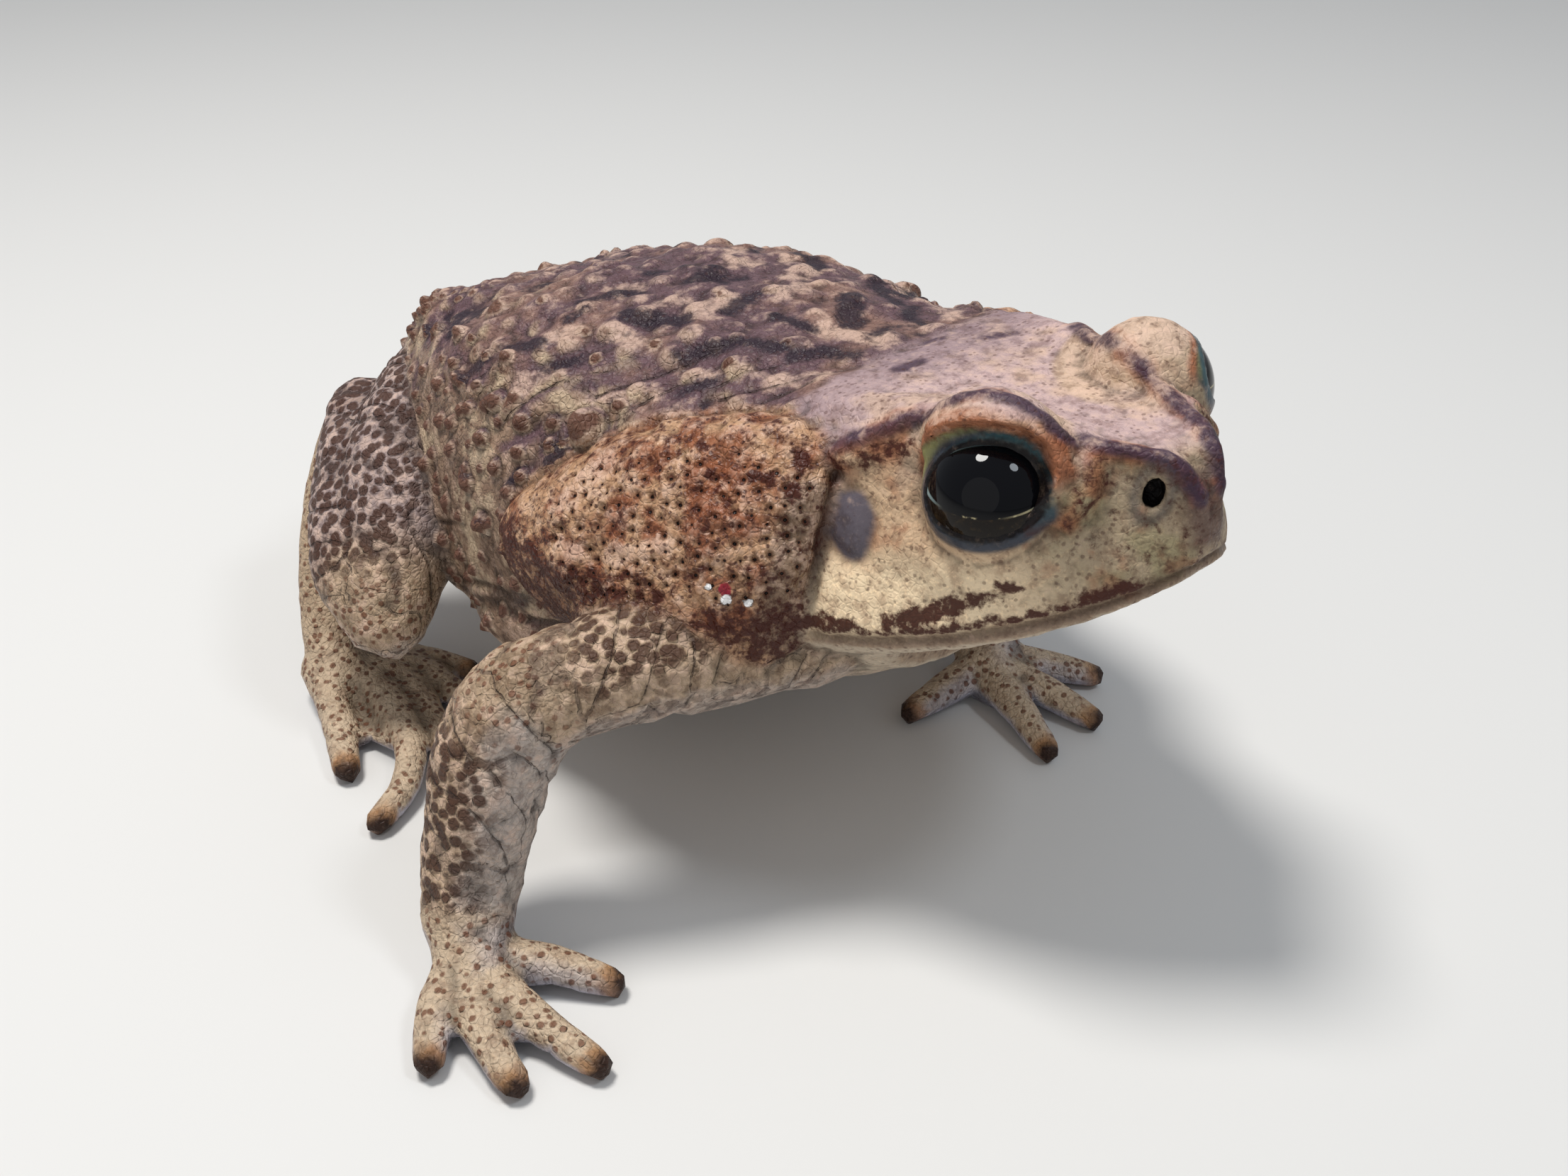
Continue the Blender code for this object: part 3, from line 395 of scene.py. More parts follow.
def fused_skin():
    """One closed skin over every node of flesh, with the gaps between them closed."""
    whole = bmesh.new()
    for name in flesh_nodes():
        whole.from_mesh(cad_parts[name].data)
    bmesh.ops.remove_doubles(whole, verts=whole.verts, dist=1e-6)
    mesh = bpy.data.meshes.new("toad_skin")
    whole.to_mesh(mesh)
    whole.free()
    skin = bpy.data.objects.new("toad_skin", mesh)
    bpy.context.scene.collection.objects.link(skin)
    apply(skin, "DISPLACE", strength=SWELL * MM, mid_level=0.0)
    apply(skin, "REMESH", mode="VOXEL", voxel_size=GRAIN * MM)
    pick(skin)
    bpy.ops.object.mode_set(mode="EDIT")
    bpy.ops.mesh.select_all(action="SELECT")
    bpy.ops.mesh.separate(type="LOOSE")
    bpy.ops.object.mode_set(mode="OBJECT")
    parts = sorted(bpy.context.selected_objects, key=lambda o: len(o.data.vertices))
    for scrap in parts[:-1]:
        bpy.data.objects.remove(scrap)
    parts[-1].name = "toad_skin"
    return parts[-1]


def regions(at):
    """For each point, which node of flesh lies nearest."""
    names, corners, faces, owners = flesh_nodes(), [], [], []
    for index, name in enumerate(names):
        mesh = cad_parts[name].data
        shift = len(corners)
        corners += [v.co[:] for v in mesh.vertices]
        for face in mesh.polygons:
            faces.append([shift + v for v in face.vertices])
            owners.append(index)
    tree = BVHTree.FromPolygons(corners, faces)
    found = np.array([owners[tree.find_nearest(p)[2]] for p in to_model(at).tolist()])
    return {name: (found == index).astype(float) for index, name in enumerate(names)}


def tree_of(at):
    tree = kdtree.KDTree(len(at))
    for index, p in enumerate(at.tolist()):
        tree.insert(p, index)
    tree.balance()
    return tree


def bumps(hide, tree, places, radii, heights, moat=0.12):
    """Round bumps on the skin: the height that they add, and each point's nearness to a tip, 0 to 1."""
    rise, tip = np.zeros(hide.size), np.zeros(hide.size)
    for place, radius, height in zip(places, radii, heights):
        found = tree.find_range(place, radius * 1.3)
        if not found:
            continue
        index = np.array([f[1] for f in found])
        t = np.array([f[2] for f in found]) / radius
        up = height * (1 - np.minimum(t, 1) ** 2) ** 1.3
        low = -moat * height * bell(t - 1.08, 0.14)
        higher = np.where(np.abs(up) > np.abs(rise[index]), up, rise[index])
        rise[index] = np.where(np.abs(up) > 0, higher, rise[index] + low)
        tip[index] = np.maximum(tip[index], 1 - np.minimum(t, 1))
    return rise, tip


def spread(hide, weight, count, spacing, radii):
    """Places on the skin at random where weight is high, at least spacing apart, and a radius for each."""
    able = np.nonzero(weight > 0.02)[0]
    share = weight[able] / weight[able].sum()
    order = chance.choice(able, size=min(count * 6, len(able)), replace=False, p=share)
    cells, made = {}, []
    near = [(a, b, c) for a in (-1, 0, 1) for b in (-1, 0, 1) for c in (-1, 0, 1)]
    for index in order.tolist():
        p = hide.at[index]
        x, y, z = (int(v) for v in np.floor(p / spacing))
        others = [q for a, b, c in near for q in cells.get((x + a, y + b, z + c), ())]
        if others and (((np.array(others) - p) ** 2).sum(axis=1) < spacing**2).any():
            continue
        cells.setdefault((x, y, z), []).append(p)
        made.append(index)
        if len(made) == count:
            break
    return hide.at[np.array(made, int)], chance.uniform(*radii, len(made))


def eye_place(side):
    """The middle of the eyeball in the head's frame, as if on the left side."""
    return EYE_CENTRE + EYE_LEFT_SHIFT if side > 0 else EYE_CENTRE


def eye_centre(side):
    return np.array(HEAD @ mirrored(eye_place(side), side))


def from_eye(head_at):
    """Each point's place from the middle of its own eyeball, as if on the left side."""
    left = (head_at[:, 1] > 0)[:, None]
    return one_side(head_at) - np.where(left, eye_place(1), eye_place(-1))


def found_warts(broad, height, trunk):
    """The tips of the warts that the solids carry, away from the ones that are listed."""
    folded = one_side(broad, -1)
    listed = (folded[:, 0] > -73) & (folded[:, 0] < -35) & (folded[:, 1] < -27) & (folded[:, 2] > 22)
    listed |= nearest(folded, [wart[:3] for wart in WARTS[:2]]) < 5
    places, sizes = [], []
    for index in np.argsort(-np.where((trunk > 0.6) & ~listed, height, 0))[:6000]:
        if height[index] < 0.25:
            break
        p = broad[index]
        if all(np.linalg.norm(p - q) > 2.0 for q in places):
            places.append(p)
            sizes.append(height[index])
    return places, np.array(sizes)


def beyond(from_ball, left, middles, halves):
    """How far outside an oval each point lies, as a share of its size; each eye has its own oval."""
    share = np.empty(len(from_ball))
    for side, mine in ((1, left), (-1, ~left)):
        turn = np.array(Matrix.Rotation(-OPENING_TURN[side], 3, "Z"))
        aside = (from_ball[mine] - np.array(middles[side])) @ turn
        share[mine] = length(aside / np.array(halves[side])) - 1
    return share


def lid_gap(from_ball, left):
    """How many mm outside the part of the eyeball that shows each point lies."""
    return beyond(from_ball, left, SHOWS_AT, EYE_SHOWS) * SHOWS_SIZE


def opening_gap(from_ball, left):
    """How many mm outside the opening between the outer lids each point lies."""
    outwards = EYE_LOOK / np.linalg.norm(EYE_LOOK) * OPENING_OUT
    middles = {side: np.array(lift) + outwards for side, lift in OPENING_LIFT.items()}
    return beyond(from_ball, left, middles, OPENING) * OPENING_SIZE


def shape_skin(skin):
    """Models the toad's surface on the fused skin, and returns what the paint needs to know of it."""
    hide = Hide(skin.data)
    masks = {name: hide.softened(mask, 8) for name, mask in regions(hide.at).items()}

    def part(*stems):
        return sum(mask for name, mask in masks.items() if name.startswith(stems))

    trunk, glands = part("torso"), part("parotoid")
    skull = part("head", "lower_jaw", "tympanum")
    limbs = part("upper", "fore", "thigh", "shank")
    feet = part("hand", "foot")

    # Facets of the solids are taken out, most of all on the trunk, whose warts are then set again.
    fine = hide.softened(hide.at, 4, 0.5)
    broad = hide.softened(fine, 70, 0.6)
    out = hide.outwards(broad)
    height = ((fine - broad) * out).sum(axis=1)
    hidden = ramp(0.25, 0.9, trunk)
    places, sizes = found_warts(broad, height, hidden)
    calm = hide.softened(fine, 10, 0.6)
    level = fine + hidden[:, None] * (broad - fine)
    level += (np.maximum(glands, limbs) * (1 - hidden))[:, None] * (calm - fine)
    hide.at = level
    out = hide.outwards()
    hide.at = hide.at - SWELL * out
    at = hide.at
    tree = tree_of(at)
    top = out[:, 2]

    head_at = in_head(at)
    side_at = one_side(head_at)

    # Warts on the trunk
    listed = [(np.array((x, y * side, z)), r) for x, y, z, r in WARTS for side in (1, -1)]
    places += [np.array(tree.find(p)[0]) for p, _ in listed]
    radii = np.r_[1.1 + 1.0 * ramp(0.3, 1.3, sizes), [r for _, r in listed]]
    upright = np.array([out[tree.find(p)[1], 2] for p in places])
    flat_back = ramp(0.72, 0.95, upright)
    rise, tip = bumps(hide, tree, places, radii, 0.95 * radii * (1 - 0.72 * flat_back), 0.15)
    flank = trunk * ramp(0.85, 0.55, top) * ramp(-0.6, -0.3, top)
    small, radii = spread(hide, flank * (tip == 0), *FLANK_WARTS)
    rise_small, tip_small = bumps(hide, tree, small, radii, 0.85 * radii, 0.15)
    low, radii = spread(hide, trunk * ramp(0.45, 0.8, top) * (tip == 0), *BACK_WARTS)
    rise_low, tip_low = bumps(hide, tree, low, radii, 0.30 * radii, 0.0)
    rise_small, tip_small = np.maximum(rise_small, rise_low), np.maximum(tip_small, 0.3 * tip_low)
    lift = np.maximum(rise, rise_small) + np.minimum(rise, rise_small)

    # Creases: fields that cross zero along them
    fine_skin = ramp(12, 6, nearest(at, ELBOWS + KNEES)) * limbs
    crease = stretched(at, FOLD_WAY, (16, 3.0), 11)
    cross = stretched(at, (1.0, -0.2, 0.7), (9, 2.4), 12)
    for name, start, end in LIMBS:
        on = masks[name] > 0.3
        crease[on] = slanted(at[on], start, end, math.radians(34), (11, 2.4), 13)
        cross[on] = slanted(at[on], start, end, math.radians(-30), (7, 2.6), 14)
    folded = one_side(at, -1)
    shoulder = bell(line_distance(folded, ((-52, -33, 57), (-30, -27, 60), (-14, -20, 63))), 9)
    loose = trunk * np.clip(0.12 + 0.85 * shoulder + 0.2 * ramp(0.5, 0.0, top), 0, 1) * (tip < 0.1)
    loose = np.clip(loose + 0.9 * limbs + 0.3 * feet, 0, 1)
    lift -= loose * (CREASE_DEPTH * bell(crease, CREASE_WIDTH) + CROSS_DEPTH * bell(cross, CROSS_WIDTH))
    folds = stretched(at, FOLD_WAY, (13, 2.9), 16) + 0.4 * stretched(at, FOLD_WAY, (8, 1.7), 17)
    lift += trunk * (0.22 + 0.45 * shoulder) * ramp(0.2, 0.7, top + 0.5 * shoulder) * folds
    flank = trunk * ramp(0.7, 0.2, np.abs(top)) * ramp(40, 30, at[:, 2])
    sag = stretched(at, (1.0, -0.15, 0.42), (26, 4.2), 15)
    lift += flank * (SAG_DEPTH * sag - SAG_DEPTH * bell(sag, SAG_WIDTH))
    lift += (0.25 + 0.3 * ramp(0.4, 0.8, top)) * trunk * cloud(at, 5.0, 21, 2)
    lift += limbs * 0.26 * cloud(at, 3.2, 51, 2)

    # Glands: lumps, and dimples with a pore in each
    core = line_distance(folded, ((-25, -38, 50), (-15, -35, 54), (-7, -31.5, 54)))
    pores, radii = spread(hide, glands * ramp(9.5, 6.0, core), *PORES)
    dimple, pore = bumps(hide, tree, pores, radii, -0.55 * radii, 0.3)
    upper = ramp(51, 58, at[:, 2])
    wrinkles = stretched(at, (0.1, -0.5, 0.85), (13, 2.3), 33)
    lift += dimple + glands * (0.55 * cloud(at, 5.5, 31) + 0.22 * mottle(at, 1.7, 41))
    lift += glands * (0.12 + 0.3 * upper) * wrinkles

    # Bony ridges and folds of the head
    def welt(line, tall, wide, side=0):
        share = bell(line_distance(side_at, line), wide) * skull
        return tall * share * (side == 0 or np.sign(head_at[:, 1]) == side)

    lift += welt(CREST_RIGHT, 0.4, 0.8, -1) + welt(CREST_LEFT, 0.4, 0.9, 1)
    lift += welt(FRONT_RIDGE, 0.5, 1.0) + welt(EAR_FOLD, 0.6, 1.5)
    groove = bell(line_distance(side_at, GLAND_CREASE), GROOVE_WIDTH)
    lift -= GROOVE_DEPTH * groove
    lift += skull * (0.13 * cloud(at, 2.2, 61) + 0.05 * mottle(at, 1.0, 62))

    # The mouth line, the nostrils and the eardrums
    mouth = np.clip(4 * masks["head"] * masks["lower_jaw"], 0, 1)
    lift -= MOUTH_DEPTH * mouth**1.5
    away = side_at - NOSTRIL
    away = away - 0.75 * (away @ NOSTRIL_WAY)[:, None] * NOSTRIL_WAY
    long = NOSTRIL_LONG / np.linalg.norm(NOSTRIL_LONG)
    oval = away - 0.38 * (away @ long)[:, None] * long
    pit = length(oval)
    lift -= NOSTRIL_DEPTH * ramp(1.25, 0.5, pit) - 0.25 * bell(pit - 1.6, 0.45)
    drum = hide.softened(part("tympanum"), 2)
    lift -= EAR_RIM * (np.clip(4 * drum * (1 - drum), 0, 1) * ramp(0.3, 0.7, skull))
    hide.at = at + lift[:, None] * out

    # The inner lids lie close round the eyeballs, and dip under them where they show.
    head_at = in_head(hide.at)
    gap = lid_gap(from_eye(head_at), head_at[:, 1] > 0)
    for side in (1, -1):
        away = hide.at - eye_centre(side)
        far = length(away)
        near = far < EYE_RADIUS + LID_OVER_BALL[0][-1]
        new = EYE_RADIUS + np.interp(far - EYE_RADIUS, *LID_OVER_BALL)
        new -= LID_DIP * ramp(0.55, 0.05, gap)
        hide.at[near] = (eye_centre(side) + away * (new / far)[:, None])[near]
    hide.at[:, 2] = np.maximum(hide.at[:, 2], 0.0)
    set_points(skin.data, hide.at)

    known = dict(masks, trunk=trunk, glands=glands, skull=skull, limbs=limbs, feet=feet, tip=tip,
                 tip_small=tip_small, fine_skin=fine_skin, pore=pore, crease=crease, cross=cross,
                 loose=loose, lift=lift, sag=sag, flank=flank, mouth=mouth, pit=pit, drum=drum,
                 groove=groove)
    return hide, known


def thin_skin(skin, hide, known):
    """Thins the skin out to its share of triangles, least on the head, and carries over what is known."""
    group = skin.vertex_groups.new(name="coarse")
    low = ramp(-0.2, -0.8, hide.outwards()[:, 2])
    fine = (known["skull"] + 0.75 * known["glands"] + 0.6 * known["trunk"] + 0.3 * known["feet"]
            + 0.35 * known["limbs"])
    plain = np.clip(1 - fine + 0.6 * low, 0.02, 1)
    level = np.round(plain * COARSE_STEPS).astype(int)
    for step in np.unique(level).tolist():
        group.add(np.nonzero(level == step)[0].tolist(), step / COARSE_STEPS, "REPLACE")
    tree = tree_of(hide.at)
    apply(skin, "DECIMATE", ratio=MOST_TRIANGLES / len(hide.triangles), use_collapse_triangulate=True,
          vertex_group="coarse", vertex_group_factor=1.0)
    skin.vertex_groups.clear()
    at = points_of(skin.data)
    nearest = np.array([tree.find(p)[1] for p in at.tolist()])
    return Hide(skin.data), {name: values[nearest] for name, values in known.items()}


# Colours are linear.
CROWN = (0.46, 0.33, 0.32)
CROWN_TAN = (0.46, 0.32, 0.24)
NAPE = (0.2, 0.135, 0.155)
SNOUT_SIDE = (0.38, 0.29, 0.19)
SNOUT_TIP = (0.09, 0.045, 0.045)
OLIVE = (0.28, 0.24, 0.13)
CREST = (0.045, 0.022, 0.045)
RUST = (0.27, 0.075, 0.025)
LID_OCHRE = (0.5, 0.36, 0.25)
CHEEK = (0.53, 0.37, 0.235)
LIP_CREAM = (0.87, 0.69, 0.46)
# Painted shade for the mouth line
MOUTH_SHADE = (0.045, 0.014, 0.01)
JAW = (0.36, 0.26, 0.18)
DRUM = (0.1, 0.085, 0.1)
LID_OLIVE = (0.25, 0.24, 0.1)
LID_TEAL = (0.045, 0.1, 0.11)
LID_GREY = (0.035, 0.04, 0.055)
BLACK = (0.006, 0.004, 0.004)
GLAND = (0.35, 0.175, 0.095)
GLAND_TAN = (0.54, 0.33, 0.19)
GLAND_RUST = (0.27, 0.085, 0.035)
GLAND_GREY = (0.24, 0.165, 0.11)
BACK = (0.12, 0.068, 0.078)
BACK_TAN = (0.22, 0.125, 0.1)
BACK_DARK = (0.022, 0.013, 0.021)
FLANK = (0.29, 0.19, 0.13)
FLANK_BROWN = (0.13, 0.082, 0.055)
FLANK_PALE = (0.64, 0.5, 0.34)
STREAK = (0.035, 0.024, 0.024)
BELLY = (0.6, 0.51, 0.39)
LIMB = (0.42, 0.305, 0.2)
LIMB_BROWN = (0.22, 0.15, 0.09)
LIMB_INNER = (0.46, 0.43, 0.42)
LIMB_GREY = (0.3, 0.24, 0.25)
LIMB_BAR = (0.13, 0.088, 0.09)
HAND = (0.52, 0.4, 0.28)
PALM = (0.46, 0.46, 0.56)
HORN = (0.035, 0.016, 0.01)
AMBER = (0.33, 0.15, 0.05)
LIGHT = (0.68, 0.47, 0.36)
MURK = (0.055, 0.012, 0.007)
DOT = (0.06, 0.024, 0.014)
SMALL_DOT = (0.13, 0.042, 0.018)
SPECK = (0.065, 0.022, 0.016)
WART_SIDE = (0.5, 0.36, 0.26)
WART_TOP = (0.11, 0.044, 0.028)
PORE_RIM = (0.14, 0.045, 0.025)
# Painted shade for the pores' openings
PORE_SHADE = (0.008, 0.005, 0.005)
# Painted shade for the creases
CREASE_SHADE = (0.055, 0.034, 0.028)
SPOT_RED = (0.26, 0.012, 0.03)
MILK = (0.88, 0.86, 0.84)
DARKER = (0.46, 0.38, 0.36)
LIGHTER = (1.5, 1.42, 1.32)
PUPIL = (0.002, 0.002, 0.003)
IRIS_DARK = (0.008, 0.005, 0.003)
IRIS_BROWN = (0.05, 0.03, 0.012)
PUPIL_RIM = (0.5, 0.66, 0.66)
PUPIL_RIM_LOW = (0.72, 0.62, 0.36)


def paint_skin(skin, hide, known):
    """Colour at each point of the skin, and fields for the fine marks that its material draws."""
    at, out = hide.at, hide.outwards()
    head_at = in_head(at)
    side_at = one_side(head_at)
    left = head_at[:, 1] > 0
    colour = np.tile(np.array(BACK), (hide.size, 1))

    def lay(tone, mask):
        nonlocal colour
        colour = colour + np.clip(mask, 0, 1)[:, None] * (np.array(tone) - colour)

    def near(line, wide):
        return bell(line_distance(side_at, line), wide)

    def both(name):
        return known[f"{name}_right"] + known[f"{name}_left"]

    ahead, _, top = out.T
    wide, mid, small = cloud(at, 13.0, 3), cloud(at, 5.5, 7), cloud(at, 2.4, 9)
    tiny = cloud(at, 1.3, 17, 2)
    trunk, skull, limbs, feet, glands = (known[k] for k in ("trunk", "skull", "limbs", "feet", "glands"))
    high = at[:, 2]
    hollow = ((hide.softened(at, 5) - at) * out).sum(axis=1)
    relief = np.clip(known["lift"] / 1.2, -1, 1) * 0.5 - 0.7 * np.clip(hollow / 0.10, -1, 1)

    # How much of each place the material covers with ragged pale and dark patches; the pale ones are partly
    # the skin's own and partly a painted highlight on raised skin, fewer in hollows
    pale_and_highlight = 0.45 * np.maximum(relief, 0) * trunk
    murk = np.zeros(hide.size)

    # Trunk
    slope = top + 0.2 * mid
    upper = ramp(0.4, 0.75, slope)
    lay(BACK_TAN, ramp(-0.2, 0.6, wide + 0.4 * small))
    pale_and_highlight += trunk * upper * (0.06 + 0.16 * mid + 0.55 * ramp(-1.2, 1.0, strokes(at, BACK_PATCHES)))
    lay(FLANK, 1 - upper)
    lay(FLANK_BROWN, (1 - upper) * ramp(0.0, 0.7, mid + 0.5 * small) * 0.8)
    lay(FLANK_PALE, (1 - upper) * ramp(0.1, 0.7, -mid + 0.6 * tiny) * 0.6)
    flank = trunk * (1 - upper)
    pale_and_highlight += flank * (0.16 + 0.16 * mid)
    lay(BELLY, ramp(-0.3, -0.75, slope))
    lay(STREAK, trunk * ramp(-0.8, 0.5, strokes(at, FLANK_STREAKS) + 0.8 * small) * 0.85)
    # Painted shade along the grooves of the sagging folds of the flank
    lay(FLANK_BROWN, known["flank"] * bell(known["sag"], 0.25) * 0.75)
    murk += flank * (0.15 + 0.15 * small) * ramp(-0.6, 0.0, top)

    # Limbs
    lay(LIMB, limbs)
    lay(LIMB_BROWN, limbs * ramp(-0.1, 0.8, mid + 0.4 * small) * ramp(-0.3, 0.3, top) * 0.7)
    # Pale patches on the limbs, with more on raised skin as a painted highlight and fewer in hollows
    pale_and_highlight += limbs * (0.20 + 0.25 * relief)
    knee = nearest(at, KNEES)
    lay(LIMB_GREY, (both("shank") + both("thigh")) * ramp(9, 17, knee) * 0.85)
    bars = stretched(at, (0.35, 0.6, -0.72), (22, 4.5), 71)
    lay(LIMB_BAR, both("shank") * ramp(0.0, 0.35, bars + 0.25 * small) * ramp(8, 15, knee) * 0.8)
    lay(LIMB_INNER, limbs * ramp(-0.05, -0.6, top) * 0.6)
    lay(LIMB_INNER, both("forearm") * ramp(0.35, 0.85, ahead - 0.1 * small) * 0.6)
    lay(HAND, feet)
    lay(LIMB, feet * ramp(4, 16, high) * 0.8)
    lay(PALM, feet * ramp(0.15, -0.35, top + 0.1 * small) * 0.85)
    lay(PALM, both("hand") * ramp(0.25, 0.8, ahead) * ramp(12, 6, high) * 0.5)
    ends = []
    for tip in np.array(TIPS):
        palm = min(np.array(PALMS), key=lambda p: np.linalg.norm(p - tip))
        ends.append(tip + 1.3 * (tip - palm) / np.linalg.norm(tip - palm))
    tips = nearest(at, ends)
    lay(AMBER, feet * ramp(3.9, 2.6, tips + 0.4 * small) * 0.8)
    lay(HORN, feet * ramp(2.6, 1.8, tips + 0.3 * small))

    # Glands
    lay(GLAND, glands)
    lay(GLAND_TAN, glands * ramp(-0.3, 0.6, -small + 0.5 * mid + 0.3 * ramp(0.2, 0.8, top)) * 0.75)
    lay(GLAND_RUST, glands * ramp(0.0, 0.8, small + 0.6 * mid) * 0.8)
    lay(GLAND_RUST, glands * ramp(-2.0, 0.6, strokes(at, GLAND_RED) + 0.8 * small) * 0.8)
    lay(GLAND_GREY, glands * ramp(-1.6, 0.6, strokes(at, GLAND_FRONT) + 0.6 * small) * 0.85)
    under = ramp(48.5, 43.0, high + 1.2 * mid)
    murk += glands * (0.35 + 0.10 * small + 0.33 * under - 0.35 * ramp(-0.9, 0.3, strokes(at, GLAND_LIGHT)))
    murk += glands * 0.5 * ramp(-0.6, 0.3, strokes(at, GLAND_SPOTS) + 0.3 * tiny)
    # Pale patches on the glands, with more on raised skin as a painted highlight
    pale_and_highlight += glands * (0.28 + 0.3 * relief + 0.3 * ramp(-0.9, 0.4, strokes(at, GLAND_LIGHT)) - 0.2 * under)

    # Head
    low = head_at[:, 2]
    forward = head_at[:, 0]
    flat = ramp(0.35, 0.7, (out @ np.array(HEAD.to_3x3()))[:, 2]) * ramp(12.5, 15.5, low)
    upright = skull * (1 - flat)
    lay(CROWN, skull)
    lay(CROWN_TAN, skull * ramp(0.0, 0.8, mid + 0.5 * small) * 0.8)
    lay(NAPE, skull * ramp(10, -6, forward + 5 * wide) * 0.75)
    pale_and_highlight += skull * flat * (0.32 + 0.12 * mid - 0.2 * ramp(8, -4, forward))
    lay(CHEEK, upright)
    lay(SNOUT_SIDE, upright * ramp(24, 30, forward))
    lay(OLIVE, upright * ramp(-0.2, 0.6, mid) * ramp(22, 29, forward) * 0.7)
    lay(GLAND_RUST, upright * ramp(0.2, 0.9, small + 0.5 * mid) * 0.45)
    over_lip = ramp(8.5, 4.0, low + 0.8 * mid) * ramp(33, 22, forward)
    lay(LIP_CREAM, upright * over_lip * 0.85)
    murk += upright * (0.12 + 0.16 * ramp(26, 38, forward) - 0.12 * over_lip)
    lay(SNOUT_TIP, skull * ramp(37.8, 39.6, forward + 0.4 * small) * ramp(2.0, 5.0, low) * 0.75)

    # Outer lids, their rims and the bony ridges
    from_ball = from_eye(head_at)
    eye_far = length(from_ball) - EYE_RADIUS
    opening = opening_gap(from_ball, left)
    gap = lid_gap(from_ball, left)
    rise = from_ball[:, 2] / EYE_RADIUS
    above_eye = ramp(0.0, 0.4, rise) * ramp(4.6, 3.6, eye_far) * skull
    lay(LID_OCHRE, above_eye * 0.85)
    pale_and_highlight += above_eye * 0.12
    rim = ramp(1.5, 0.7, np.abs(opening - 0.5) + 0.25 * small) * above_eye
    lay(RUST, rim * 0.85)
    crest_at = np.where(left, *(line_distance(side_at, line) for line in (CREST_LEFT, CREST_RIGHT)))
    lay(RUST, skull * ramp(2.4, 1.2, crest_at + 0.5 * small) * ramp(-0.5, 0.4, mid + small) * 0.7)
    lay(CREST, skull * ramp(1.6, 0.7, crest_at + 0.35 * small) * 0.92)
    rust = np.maximum(near(EAR_FOLD, 1.9), 0.9 * near(FRONT_RIDGE, 1.2))
    lay(RUST, skull * rust * ramp(-0.7, 0.1, small) * 0.8)
    murk += skull * 0.5 * near(EAR_FOLD, 1.6) + skull * 0.3 * near(FRONT_RIDGE, 1.5)
    lay(CREST, skull * ramp(-0.5, 0.3, strokes(head_at, CROWN_BLOTCHES) + 0.4 * small) * 0.85)

    # Lips, jaw, ear, nostril
    line = np.interp(forward, (-14, 0, 12, 22, 33, 39.6), (-3.2, -2.9, -2.7, -2.0, -0.4, 2.2))
    above = low - line
    lips = skull * ramp(-0.2, 0.2, above)
    murk += lips * 0.85 * ramp(-1.2, 0.7, strokes(side_at, LIP_BLOTCHES) + 0.5 * small)
    murk += lips * 0.4 * ramp(1.3, 0.2, above)
    lay(JAW, skull * ramp(0.0, -0.5, above))
    lay(BELLY, skull * ramp(-0.2, -0.7, top) * ramp(0.0, -0.5, above) * 0.7)
    # Painted shadow in the groove between the cheek and the gland
    lay(MURK, ramp(0.25, 0.9, known["groove"]) * 0.85)
    lay(DRUM, ramp(0.3, 0.8, known["drum"]))
    lay(LID_GREY, bell(known["pit"] - 1.9, 0.6) * 0.6 * skull)
    # Painted shade: the nostril's pit in black
    lay(BLACK, ramp(1.25, 0.85, known["pit"]))
    # Painted shade along the mouth line between head and jaw
    lay(MOUTH_SHADE, known["mouth"] * 0.8)

    # The smooth inner lid: olive above, teal beside the eyeball, grey below
    inside = np.maximum(ramp(0.9, 0.3, opening), ramp(0.1, -0.1, rise))
    lid = ramp(2.2, 1.5, eye_far) * skull * inside * ramp(1.9, 1.1, gap - 2.5 * ramp(0.0, 0.4, rise))
    lay(LID_GREY, lid)
    lay(LID_OLIVE, lid * ramp(0.0, 0.5, rise) * ramp(0.6, 1.6, gap))
    lay(LID_TEAL, lid * ramp(0.9, 0.2, gap - 0.12 * (from_ball[:, 0] - 2)) * ramp(-0.5, 0.2, rise) * 0.8)
    lay(BLACK, lid * ramp(0.35, 0.05, gap))
    plain = np.clip(1 - 1.2 * lid - known["drum"] - known["mouth"], 0, 1) * ramp(1.0, 1.6, known["pit"])
    lay(MURK, lid * ramp(-0.2, -0.5, rise) * ramp(0.25, 0.6, small + 0.4 * tiny) * 0.8)

    blotch = strokes(at, BACK_BLOTCHES)
    drift = stretched(at, (0.25, 1.0, 0.1), (10, 4.2), 81) + 0.4 * small
    blotch = np.maximum(blotch, 3.2 * drift - 1.5) - 6 * ramp(0.55, 0.15, top) - 6 * (1 - trunk)
